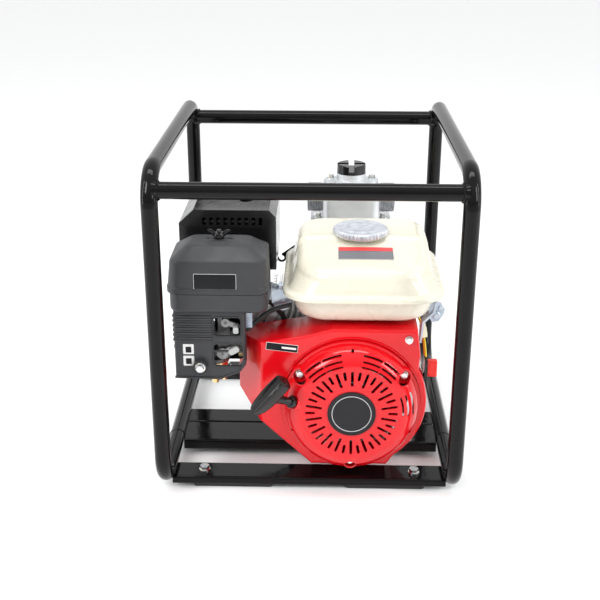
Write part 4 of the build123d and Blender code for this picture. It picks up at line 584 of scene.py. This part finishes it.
def make_cleaner_cover():
    centre = ((COVER_LOW.x + COVER_HIGH.x) / 2, (COVER_LOW.y + COVER_HIGH.y) / 2)
    width, depth = COVER_HIGH.x - COVER_LOW.x, COVER_HIGH.y - COVER_LOW.y

    def ring(inset, radius, height, lean=0.0):
        """lean is how much further the left side draws in than the others."""
        shape = rounded(width - 2 * inset - lean, depth - 2 * inset, radius, arc=8, straight=10)
        return placed(shape, (centre[0] + lean / 2, centre[1]), height)

    def seat(x, y):
        """The plateau with the round seat raised under the wing nut."""
        away = math.dist((x, y), STUD_AT)
        return COVER_TOP - 0.0002 + 0.0024 * (1 - smooth_step(away, 0.014, 0.022))

    outer = [ring(0.0, 0.017, COVER_SPLIT + 0.0004, -0.0035), ring(0.0, 0.017, COVER_SPLIT + 0.0080, -0.0034),
             ring(0.0002, 0.0168, COVER_SPLIT + 0.0084, -0.0034), ring(0.0007, 0.0165, COVER_SPLIT + 0.0088, -0.0032),
             ring(0.0008, 0.0165, COVER_SPLIT + 0.0100, -0.0031), ring(0.0018, 0.016, COVER_BROW - 0.004, -0.0008),
             ring(0.0021, 0.0155, COVER_BROW - 0.0018, -0.0004), ring(0.0029, 0.015, COVER_BROW - 0.0004, 0.0),
             ring(0.0042, 0.0145, COVER_BROW + 0.0006, 0.0), ring(0.0058, 0.0142, COVER_BROW + 0.0014, 0.0),
             ring(0.0205, 0.0125, 0.3536, 0.0), ring(0.0225, 0.012, 0.3550, 0.0), ring(0.0245, 0.0115, 0.3558, 0.0),
             ring(0.0270, 0.011, 0.3562, 0.0)]
    levels = 14
    for step in range(levels):
        share = step / levels
        outer.append(ring(0.028 + (0.0475 - 0.028) * share, 0.011 * (1 - share) + 0.001, seat))
    under = [ring(0.004, 0.014, COVER_SPLIT + 0.0004), ring(0.004, 0.014, COVER_BROW - 0.006),
             ring(0.018, 0.012, 0.347)]
    rings = [ring for ring in reversed(under)] + outer
    return add_mesh("cleaner_cover_moulding", *bridge(rings), CLEANER_PLASTIC, "cleaner_cover",
                    sharp=math.radians(60), replaces=("air_cleaner_cover",), slot="cleaner_plastic")


def make_cleaner_tray():
    """The rounded tray below the cover, over the CAD case's plain one."""
    centre = ((COVER_LOW.x + COVER_HIGH.x) / 2, (COVER_LOW.y + COVER_HIGH.y) / 2)
    width, depth = COVER_HIGH.x - COVER_LOW.x, COVER_HIGH.y - COVER_LOW.y

    def ring(inset, radius, height):
        return placed(rounded(width - 2 * inset, depth - 2 * inset, radius, arc=8, straight=10), centre, height)

    rings = [ring(0.03, 0.008, 0.2678), ring(0.0075, 0.0135, 0.2676), ring(0.0032, 0.015, 0.2688),
             ring(0.0008, 0.0165, 0.2722), ring(0.0, 0.017, 0.2765), ring(0.0, 0.017, 0.2905),
             ring(0.0012, 0.0165, 0.2914), ring(0.0012, 0.0165, 0.2943), ring(0.004, 0.014, 0.2944),
             ring(0.004, 0.014, 0.272), ring(0.03, 0.008, 0.2718)]
    return bridge(rings)


# ---------------------------------------------------------------- pull handle and starter rope
ROPE_EXIT = mm(-21, -202, 143)
PULL = Vector((-0.78, -0.50, 0.48)).normalized()
GRIP = Vector((0.60, -0.13, 0.79)).normalized()
GRIP_AT = ROPE_EXIT + PULL * 0.043
GRIP_HALF = 0.033


def make_pull_handle():
    """A wing-shaped grip with a hollowed face, on a stem with a collar."""
    across = GRIP.cross(PULL).normalized()
    out = across.cross(GRIP).normalized()
    sections = ((-0.99, 0.0080, 0.0100, 0.0030), (-0.97, 0.0105, 0.0130, 0.0026), (-0.88, 0.0140, 0.0165, 0.0018),
                (-0.6, 0.0182, 0.0200, 0.0006), (-0.2, 0.0212, 0.0222, 0.0), (0.2, 0.0220, 0.0228, 0.0),
                (0.6, 0.0212, 0.0220, -0.0004), (0.90, 0.0204, 0.0212, -0.0010), (0.95, 0.0198, 0.0206, -0.0010),
                (0.965, 0.0180, 0.0188, -0.0010))
    rings = []
    for along, wide, thick, shift in sections:
        centre = GRIP_AT + GRIP * GRIP_HALF * along + out * shift
        shape = rounded(wide, thick, min(wide, thick) * 0.3, arc=5, straight=3)
        ring = []
        for point in shape:
            # The face away from the engine is hollowed for the fingers
            hollow = 0.0028 * (1 - abs(along) ** 3) if point.x > wide * 0.42 else 0.0
            ring.append(centre + out * (point.x - hollow) + across * point.y)
        rings.append(ring)
    grip = bridge(rings)
    stem = turned([(0.0045, 0.0), (0.0078, 0.0), (0.0082, 0.0008), (0.0082, 0.0062), (0.0072, 0.0072),
                   (0.0058, 0.0076), (0.0056, 0.014), (0.0064, 0.024), (0.0085, 0.034), (0.0085, 0.038)],
                  axis_frame(ROPE_EXIT + PULL * 0.0006, PULL), 40)
    return add_mesh("starter_grip", *join(grip, stem), BLACK_PLASTIC, "handle", sharp=math.radians(40),
                    replaces=("pull_handle",), slot="black_plastic")


def make_rope():
    """The starter rope between the housing's guide and the grip."""
    count, turns = 14, 60
    start, end = -0.016, 0.03
    place = axis_frame(ROPE_EXIT, PULL)
    rings = []
    for level in range(turns + 1):
        along = start + (end - start) * level / turns
        ring = []
        for step in range(count):
            angle = math.tau * step / count
            radius = 0.0019 + 0.00025 * math.cos(4 * angle + level * 1.1)
            ring.append(place @ Vector((radius * math.cos(angle), radius * math.sin(angle), along)))
        rings.append(ring)
    points, faces = bridge(rings)
    data = bpy.data.meshes.new("starter_rope")
    data.from_pydata([tuple(point) for point in points], [], faces)
    data.materials.append(ROPE)
    data.polygons.foreach_set("use_smooth", [True] * len(data.polygons))
    rope = bpy.data.objects.new("starter_rope", data)
    bpy.context.scene.collection.objects.link(rope)
    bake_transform(rope)
    return rope


# ---------------------------------------------------------------- labels, all blank
def make_plate(name, centre, right, up, size, material, corner=0.0008, lift=0.0003, body="root"):
    """A thin plate with rounded corners that lies on a face."""
    right = Vector(right).normalized()
    out = right.cross(Vector(up)).normalized()
    up = out.cross(right)
    shape = rounded(size[0], size[1], corner, arc=4, straight=2)
    rings = []
    for inset, height in ((0.0, -0.0002), (0.0, lift * 0.8), (0.00015, lift)):
        share = 1 - inset / size[1]
        rings.append([Vector(centre) + right * p.x * share + up * p.y * share + out * height for p in shape])
    return add_mesh(name, *bridge(rings), material, body)


def make_tank_label():
    """The blank label on the slope before the cap: a red band over a grey block."""
    for name, low, high, material, lift in (("tank_label_edge", (0.0372, -0.1363), (0.1134, -0.1022), LABEL_WHITE, 0.0006),
                                            ("tank_label_band", (0.0378, -0.1130), (0.1128, -0.1028), LABEL_RED, 0.0008),
                                            ("tank_label_block", (0.0378, -0.1357), (0.1128, -0.1134), LABEL_GREY, 0.0008)):
        across, along = 24, 12
        points, faces = [], []
        for row in range(along + 1):
            for column in range(across + 1):
                x = low[0] + (high[0] - low[0]) * column / across
                y = low[1] + (high[1] - low[1]) * row / along
                points.append((x, y, tank_roof(x, y) + lift))
        for row in range(along):
            for column in range(across):
                start = row * (across + 1) + column
                faces.append((start, start + 1, start + across + 2, start + across + 1))
        piece = add_mesh(name, points, faces, material)
        skin = piece.modifiers.new("thickness", "SOLIDIFY")
        skin.thickness = 0.0002


def make_labels():
    cleaner_y = COVER_LOW.y + 0.0008
    make_plate("cleaner_label_frame", (-0.1255, cleaner_y, 0.3137), (1, 0, 0), (0, 0.03, 1), (0.0566, 0.0216), LABEL_SILVER)
    make_plate("cleaner_label", (-0.1255, cleaner_y - 0.0005, 0.3137), (1, 0, 0), (0, 0.03, 1), (0.0552, 0.0202), LABEL_BLACK)
    wall_y = BASE_WALL_Y
    for name, low_z in (("cleaner_sticker_upper", 0.2050), ("cleaner_sticker_lower", 0.1877)):
        make_plate(name, (-0.1650, wall_y, low_z + 0.0075), (1, 0, 0), (0, 0, 1), (0.0148, 0.0148), LABEL_WHITE)
        make_plate(name + "_block", (-0.1650, wall_y - 0.0002, low_z + 0.0068), (1, 0, 0), (0, 0, 1), (0.0078, 0.0088),
                   LABEL_BLACK)
    face_y = SHROUD_FACE_Y
    tilt = Vector((43.7, 0, -4.9)).normalized()
    rise = Vector((4.9, 0, 43.7)).normalized()
    make_plate("shroud_label_frame", (-0.0380, face_y, 0.2121), tilt, rise, (0.0440, 0.0112), LABEL_WHITE)
    make_plate("shroud_label", (-0.0380, face_y - 0.0002, 0.2121), tilt, rise, (0.0430, 0.0102), LABEL_BLACK)
    make_plate("shroud_label_block", Vector((-0.0380, face_y - 0.0004, 0.2121)) + tilt * 0.0095, tilt, rise,
               (0.0200, 0.0030), LABEL_WHITE)


# ---------------------------------------------------------------- recoil starter
BADGE_LOW, BADGE_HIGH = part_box("recoil_badge")
BADGE_AT = (BADGE_LOW + BADGE_HIGH) / 2
SHROUD_FACE_Y = -0.172
BASE_WALL_Y = -0.182
CASE_INSIDE_Y = -0.1575


def ring_band(name, centre, inner, outer, height, material, rounding=0.4, body="root"):
    """A raised ring with rounded edges on a face that looks to -Y."""
    width = outer - inner
    profile = [(inner, -0.0004), (inner, height * (1 - rounding)), (inner + width * 0.2, height),
               (outer - width * 0.2, height), (outer, height * (1 - rounding)), (outer, -0.0004)]
    place = axis_frame(centre, (0, -1, 0))
    rings = [[place @ Vector((r * math.cos(math.tau * k / 160), r * math.sin(math.tau * k / 160), h))
              for k in range(160)] for r, h in profile]
    points, faces = bridge(rings, False, False, loop=True)
    return add_mesh(name, points, faces, material, body, sharp=math.radians(60))


def make_recoil_trim():
    centre = Vector((BADGE_AT.x, BADGE_LOW.y, BADGE_AT.z))
    ring_band("badge_ring", centre, 0.0262, 0.0272, 0.00035, LABEL_SILVER)
    ring_band("badge_edge", centre, 0.0318, 0.0329, 0.0006, BADGE)
    on_shroud = Vector((BADGE_AT.x, SHROUD_FACE_Y, BADGE_AT.z))
    ring_band("shroud_rim", on_shroud, 0.0964, 0.0992, 0.0026, RED_PAINT)


# ---------------------------------------------------------------- water ports
PUMP_AT_X = 0.0608
MANIFOLD_AT_Y = 0.158
PORTS = (
    (mm(15.8, 158, 330.6), (-1, 0, 0), 0.0239, 0.0250),
    (mm(105.8, 158, 330.6), (1, 0, 0), 0.0239, 0.0250),
    (mm(60.8, 198, 326), (0, 1, 0), 0.0298, 0.0250),
    (mm(58, 195, 140), (0, 1, 0), 0.0298, 0.0270),
)
THREAD_PITCH = 0.0026
THREAD_DEPTH = 0.0017
PORT_WALL = 0.0055


def threaded_pipe(root, axis, radius, length):
    """Points and faces of a pipe end with a helical pipe thread."""
    place = axis_frame(root, axis)
    count, per_turn = 72, 8
    levels = int(length / THREAD_PITCH * per_turn)
    rings = []

    def ring(height, shape):
        points = []
        for step in range(count):
            share = step / count
            points.append(place @ Vector((shape(share) * math.cos(math.tau * share),
                                          shape(share) * math.sin(math.tau * share), height)))
        return points

    for level in range(levels + 1):
        height = length * level / levels

        def wave(share, height=height):
            phase = (height / THREAD_PITCH - share) % 1.0
            crest = min(1.0, max(0.0, 1.6 - 3.2 * abs(phase - 0.5)))
            runout = min(1.0, height / 0.004)
            lead_in = min(1.0, (length - height) / 0.0022)
            return radius - THREAD_DEPTH * (1 - crest * runout) - 0.0009 * (1 - lead_in)

        rings.append(ring(height, wave))
    bore = radius - PORT_WALL
    rings.append(ring(length, lambda share: bore + 0.0012))
    rings.append(ring(length - 0.0010, lambda share: bore))
    rings.append(ring(0.0, lambda share: bore))
    return bridge(rings, False, False, loop=True)


def make_ports():
    parts = [threaded_pipe(*port) for port in PORTS]
    return add_mesh("port_threads", *join(*parts), PORT_ALUMINIUM, sharp=math.radians(35),
                    replaces=("threaded_ports",), slot="cast_aluminium")


# ---------------------------------------------------------------- small parts
def make_wing_nut():
    base = Vector((STUD_AT[0], STUD_AT[1], COVER_TOP + 0.0028))
    hub = turned([(0.0031, 0.0), (0.0068, 0.0), (0.0070, 0.0008), (0.0064, 0.0062), (0.0052, 0.0080), (0.0031, 0.0082)],
                 axis_frame(base, (0, 0, 1)), 48)
    wings = []
    for side in (-1, 1):
        spine = ((0.0035, 0.0030, 0.0060), (0.0062, 0.0050, 0.0062), (0.0092, 0.0074, 0.0068),
                 (0.0120, 0.0092, 0.0066), (0.0142, 0.0102, 0.0050), (0.0154, 0.0106, 0.0020))
        rings = []
        for out, rise, wide in spine:
            ring = []
            for step in range(16):
                angle = math.tau * step / 16
                along = Vector((math.cos(angle) * wide / 2 * -0.62 * side, 0, math.cos(angle) * wide / 2 * 0.78))
                ring.append(base + Vector((side * out, 0, rise)) + along + Vector((0, math.sin(angle) * 0.0014, 0)))
            rings.append(ring)
        wings.append(bridge(rings))
    return add_mesh("wing_nut_casting", *join(hub, *wings), BLACK_PLASTIC, "wing_nut", sharp=math.radians(50),
                    replaces=("wing_nut",), slot="black_plastic")


def make_springs():
    """Two closely wound governor springs."""
    axis = Vector((0.1, 0.2, 1)).normalized()
    for number, x in enumerate((-50, -42)):
        place = axis_frame(mm(x, -126, 278), axis)
        turns, length, radius = 10, 0.0235, 0.00235
        points = []
        for step in range(turns * 8 + 1):
            angle = math.tau * step / 8
            points.append(place @ Vector((radius * math.cos(angle), radius * math.sin(angle), length * step / (turns * 8))))
        add_tube(f"governor_spring_{number + 1}", points, 0.00042, BRIGHT_STEEL, resolution=3,
                 replaces=("governor_springs",) if number == 0 else ())


def make_lines():
    """The fuel hose and the switch wires, as smooth tubes."""
    add_tube("fuel_hose_tube", [mm(-25.5, -140, 262), mm(-44, -140, 259), mm(-66, -141, 246), mm(-86, -143, 226),
                                mm(-106, -144, 217)], 0.0034, RUBBER, replaces=("fuel_hose",))
    for shift in (0.0, 4.5):
        add_tube(f"switch_wire_{int(shift)}",
                 [mm(163.5 - shift / 3, -132 + shift, 181.4), mm(163 - shift / 3, -120 + shift, 194),
                  mm(160 - shift / 3, -112 + shift, 212), mm(157 - shift / 3, -97 + shift, 226),
                  mm(142 - shift / 3, -84 + shift, 234), mm(122 - shift / 3, -78 + shift, 236)],
                 0.0013, YELLOW_SLEEVE, replaces=("switch_wires",) if shift == 0 else ())


def make_connector():
    """The pale bullet connector halfway up the switch wires."""
    place = axis_frame(mm(160.5, -112, 211), (-0.12, 0.35, 0.93))
    parts = [block((0.0085, 0.0062, 0.0150), place),
             block((0.0070, 0.0050, 0.0060), place @ Matrix.Translation((0, 0, 0.0103))),
             block((0.0030, 0.0014, 0.0070), place @ Matrix.Translation((0, -0.0037, 0.0010)))]
    return add_mesh("wire_connector", *join(*parts), NATURAL_PLASTIC, bevel=0.0006)


def weld_bead(x, y, side):
    """Points and faces of a lumpy bead round the end of a cross bar."""
    rings = []
    count, sides = 64, 10
    for step in range(count):
        angle = math.tau * step / count
        lump = 0.0017 + 0.0004 * math.sin(step * 1.9) * math.cos(step * 0.7)
        centre = Vector((x + side * 0.0009 * math.cos(2 * angle), y + 0.0112 * math.cos(angle),
                         0.4465 + 0.0112 * math.sin(angle)))
        out = Vector((0, math.cos(angle), math.sin(angle)))
        ring = []
        for turn in range(sides):
            bend = math.tau * turn / sides
            ring.append(centre + (out * math.cos(bend) + Vector((1, 0, 0)) * math.sin(bend)) * lump)
        rings.append(ring)
    return bridge(rings, False, False, loop=True)


def make_welds():
    beads = [weld_bead(side * 0.1895, y, side) for side in (-1, 1) for y in (-0.221, 0.221)]
    return add_mesh("frame_welds", *join(*beads), FRAME_PAINT)


# ---------------------------------------------------------------- carburettor side
BOWL_LOW, BOWL_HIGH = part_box("float_bowl")
BOWL_AT = (BOWL_LOW + BOWL_HIGH) / 2


def make_bowl():
    """The pressed brass bowl, with a stepped floor and the bolt under it."""
    place = axis_frame((BOWL_AT.x, BOWL_AT.y, 0.0), (0, 0, 1))
    high = BOWL_HIGH.z
    radius = (BOWL_HIGH.x - BOWL_LOW.x) / 2
    bowl = turned([(radius - 0.003, high), (radius, high), (radius, high - 0.0025), (radius - 0.0016, high - 0.0034),
                   (radius - 0.0018, 0.1640), (radius - 0.0030, 0.1595), (radius - 0.0060, 0.1565),
                   (0.0090, 0.1530), (0.0078, 0.1520), (0.0074, 0.1500), (0.0010, 0.1500)], place)
    bolt = hex_bolt(axis_frame((BOWL_AT.x, BOWL_AT.y, 0.1504), (0, 0, -1)), 0.0085, 0.0075, 1.15)
    screw = hex_bolt(axis_frame((BOWL_AT.x + 0.0120, BOWL_AT.y - 0.006, 0.1562), (0.3, -0.2, -1)), 0.0060, 0.0060, 1.2)
    return add_mesh("float_bowl_pressing", *join(bowl, bolt, screw), BRASS, sharp=math.radians(35),
                    replaces=("float_bowl",), slot="brass")


def rim_round(centre, size, corner, width, height, y):
    """Points and faces of a raised rim round a window in a wall that looks to -Y."""
    rings = []
    for grow, out in ((0.0002, -0.002), (0.0002, height * 0.6), (width * 0.3, height), (width * 0.75, height),
                      (width, height * 0.5), (width + 0.0004, -0.0005)):
        shape = rounded(size[0] + 2 * grow, size[1] + 2 * grow, corner + grow, arc=6, straight=4)
        rings.append([Vector((centre[0] + p.x, y - out, centre[1] + p.y)) for p in shape])
    return bridge(rings, False, False, loop=True)


def make_case_trim():
    """Rims round the lever windows, ribs round the left corner, and the lip under the case."""
    parts = [rim_round((-0.1115, 0.246), (0.0362, 0.0262), 0.004, 0.0022, 0.0014, BASE_WALL_Y),
             rim_round((-0.1105, 0.204), (0.0392, 0.0322), 0.004, 0.0022, 0.0014, BASE_WALL_Y)]
    for level in range(6):
        z = 0.2255 + 0.007 * level
        rings = []
        path = ((-0.132, -0.1822), (-0.160, -0.1822), (-0.1815, -0.1822), (-0.1838, -0.1810), (-0.1845, -0.1790),
                (-0.1845, -0.150), (-0.1845, -0.115))
        outward = ((0, -1), (0, -1), (-0.25, -1), (-0.7, -0.7), (-1, -0.25), (-1, 0), (-1, 0))
        for (x, y), (ox, oy) in zip(path, outward):
            out = Vector((ox, oy, 0)).normalized()
            rings.append([Vector((x, y, z)) + out * share + Vector((0, 0, rise)) for share, rise in
                          ((-0.001, -0.0018), (0.0010, -0.0015), (0.0016, 0.0), (0.0010, 0.0015), (-0.001, 0.0018))])
        parts.append(bridge(rings))
    # The lip that runs along the foot of the case and up its cut-off corner
    lip = ((-0.1846, 0.1690, 0.0, 1.0), (-0.1790, 0.1688, 0.0, 1.0), (-0.1220, 0.1680, -0.1, 1.0),
           (-0.0960, 0.1780, -0.5, 0.85), (-0.0870, 0.1900, -0.9, 0.4), (-0.0868, 0.1985, -1.0, 0.0))
    parts.append(bridge([[Vector((x + across * rise, BASE_WALL_Y - out, z + upright * rise)) for out, rise in
                          ((-0.0010, 0.0), (0.0016, 0.0002), (0.0022, 0.0012), (0.0016, 0.0026), (-0.0010, 0.0032))]
                         for x, z, across, upright in lip]))
    bar = axis_frame((-0.1110, BASE_WALL_Y + 0.0015, 0.2095), (0, 0, 1))
    parts.append(block((0.0390, 0.0030, 0.0030), bar))
    return add_mesh("cleaner_case_trim", *join(*parts), CLEANER_PLASTIC, bevel=0.0004)


def make_case_boss():
    """The dark boss with the bright bolt that holds the case."""
    place = axis_frame((-0.149, BASE_WALL_Y - 0.0062, 0.188), (0, -1, 0))
    boss = turned([(0.0070, 0.0), (0.0096, 0.0), (0.0101, 0.0006), (0.0101, 0.0010), (0.0070, 0.0014)], place, 48)
    add_mesh("case_boss_rim", *boss, BLACK_PLASTIC)
    head = hex_bolt(axis_frame((-0.149, BASE_WALL_Y - 0.0070, 0.188), (0, -1, 0)), 0.0100, 0.0055, 1.45)
    side = hex_bolt(axis_frame((-0.1841, -0.164, 0.209), (-1, 0, 0)), 0.0090, 0.0050, 1.4)
    return add_mesh("case_bolts", *join(head, side), BRIGHT_STEEL, bevel=0.0003, slot="zinc_steel")


def make_case_flange_and_shade():
    """The dark flange and spacer behind the levers, seen through the windows; the dark panel also stands in for the
    painted shade inside the case.
    """
    y = CASE_INSIDE_Y
    # Dark panel: the black flange, and painted shade for the inside of the case behind the lever windows
    flange = bridge([[Vector((-0.1110 + p.x, y + back, 0.2260 + p.y)) for p in rounded(0.0400, 0.0780, 0.006, 5, 3)]
                     for back in (0.0, 0.0022)])
    studs = [hex_bolt(axis_frame((x, y, z), (0, -1, 0)), 0.0060, 0.0030, 1.3)
             for x, z in ((-0.1270, 0.2580), (-0.0950, 0.2570), (-0.0955, 0.1950))]
    add_mesh("case_flange_and_shade_panel", *flange, BLACK_PLASTIC, bevel=0.0005)
    return add_mesh("case_inside_studs", *join(*studs), BRASS, slot="brass")


def make_control_plate():
    """The folded zinc plate and its screw between the air cleaner and the tank, and the short channel below."""
    y = -0.1290
    outline = ((-0.0540, 0.2790), (-0.0535, 0.2620), (-0.0480, 0.2530), (-0.0390, 0.2500), (-0.0300, 0.2530),
               (-0.0262, 0.2640), (-0.0270, 0.2760), (-0.0330, 0.2800), (-0.0450, 0.2810))
    plate = bridge([[Vector((x, y - out, z)) for x, z in outline] for out in (0.0, 0.0016)])
    wing = bridge([[Vector((x, y + 0.0005 + back, z)) for x, z, back in
                    ((-0.0262, 0.2640, 0), (-0.0230, 0.2650, 0.016), (-0.0240, 0.2850, 0.016), (-0.0270, 0.2780, 0))],
                   [Vector((x + 0.0013, y + 0.0005 + back, z)) for x, z, back in
                    ((-0.0262, 0.2640, 0), (-0.0230, 0.2650, 0.016), (-0.0240, 0.2850, 0.016), (-0.0270, 0.2780, 0))]])
    shelf = block((0.0270, 0.0200, 0.0014), Matrix.Translation((-0.0405, y + 0.0095, 0.2805)))
    screw = hex_bolt(axis_frame((-0.0420, y - 0.001, 0.2840), (0.1, -0.4, 1)), 0.0080, 0.0060, 1.3)
    pin = turned([(0.0010, 0), (0.0033, 0), (0.0033, 0.0016), (0.0010, 0.0022)],
                 axis_frame((-0.0370, y - 0.0016, 0.2635), (0, -1, 0)), 28)
    channel = [block((0.0090, 0.0014, 0.0280), Matrix.Translation((-0.0845, -0.1480, 0.2450))),
               block((0.0014, 0.0110, 0.0280), Matrix.Translation((-0.0883, -0.1430, 0.2450))),
               block((0.0014, 0.0110, 0.0280), Matrix.Translation((-0.0807, -0.1430, 0.2450)))]
    return add_mesh("control_plate", *join(plate, wing, shelf, screw, pin, *channel), ZINC_PLATE,
                    slot="zinc_steel")


def make_tank_tab():
    """The zinc tab with its bolt that holds the right edge of the tank."""
    y = -0.1310
    outline = ((0.1650, 0.2640), (0.1800, 0.2650), (0.1862, 0.2560), (0.1850, 0.2480), (0.1780, 0.2370),
               (0.1690, 0.2350), (0.1655, 0.2420))
    tab = bridge([[Vector((x, y - out, z)) for x, z in outline] for out in (0.0, 0.0016)])
    lug = block((0.0014, 0.0140, 0.0180), Matrix.Translation((0.1648, y + 0.0065, 0.2540)))
    bolt = hex_bolt(axis_frame((0.1745, y - 0.0016, 0.2460), (0, -1, 0)), 0.0080, 0.0055, 1.4)
    nut = hex_bolt(axis_frame((0.1800, y - 0.0016, 0.2575), (0, -1, 0)), 0.0055, 0.0040, 1.3)
    return add_mesh("tank_tab", *join(tab, lug, bolt, nut), ZINC_PLATE, slot="zinc_steel")


# ---------------------------------------------------------------- pump casing
CASING_AXIS = mm(58, 0, 129.5)
CASING_BACK_Y = 0.195


def rear_point(radius, degrees, y):
    angle = math.radians(degrees)
    return Vector((CASING_AXIS.x + radius * math.cos(angle), y, CASING_AXIS.z + radius * math.sin(angle)))


def make_casing_details():
    """Cast ribs and a bolted rim on the back of the casing."""
    parts = []
    for degrees in (0, 45, 135, 180, 225, 315):
        direction = Vector((math.cos(math.radians(degrees)), 0, math.sin(math.radians(degrees))))
        place = axis_frame(rear_point(0.0650, degrees, CASING_BACK_Y + 0.0024), direction, (0, 1, 0))
        parts.append(block((0.0052, 0.0052, 0.0500), place))
    add_mesh("casing_ribs", *join(*parts), PUMP_ALUMINIUM, bevel=0.0012, slot="pump_aluminium")
    profile = [(0.0905, -0.0004), (0.0912, 0.0034), (0.0925, 0.0042), (0.0970, 0.0042), (0.0985, 0.0030), (0.0992, -0.0004)]
    rings = [[CASING_AXIS + Vector((r * math.cos(math.tau * k / 160), CASING_BACK_Y + h, r * math.sin(math.tau * k / 160)))
              for k in range(160)] for r, h in profile]
    add_mesh("casing_rim", *bridge(rings, False, False, loop=True), PUMP_ALUMINIUM, slot="pump_aluminium")
    bolts = [hex_bolt(axis_frame(rear_point(0.0946, 22.5 + 45 * number, CASING_BACK_Y + 0.0038), (0, 1, 0)), 0.0080,
                      0.0060, 1.3) for number in range(8)]
    add_mesh("casing_bolts", *join(*bolts), BRIGHT_STEEL, slot="zinc_steel")


make_camera()
make_studio()
paint_nodes()
make_tank()
make_cap()
make_cleaner_cover()
make_pull_handle()
make_rope()
make_tank_label()
make_labels()
make_recoil_trim()
make_ports()
make_wing_nut()
make_springs()
make_lines()
make_connector()
make_welds()
make_bowl()
make_case_trim()
make_case_boss()
make_case_flange_and_shade()
make_control_plate()
make_tank_tab()
make_casing_details()


def make_floor():
    size, centre = 60.0, (0.0, 0.0)
    data = bpy.data.meshes.new("floor")
    corners = [(centre[0] + sx * size, centre[1] + sy * size, 0.0) for sx, sy in ((-1, -1), (1, -1), (1, 1), (-1, 1))]
    data.from_pydata(corners, [], [(0, 1, 2, 3)])
    floor = bpy.data.objects.new("floor", data)
    bpy.context.scene.collection.objects.link(floor)
    data.materials.append(surface("floor_white", (0.94, 0.945, 0.95), (0.28, 0.36), mottle=0.01, specular=0.4))


make_floor()
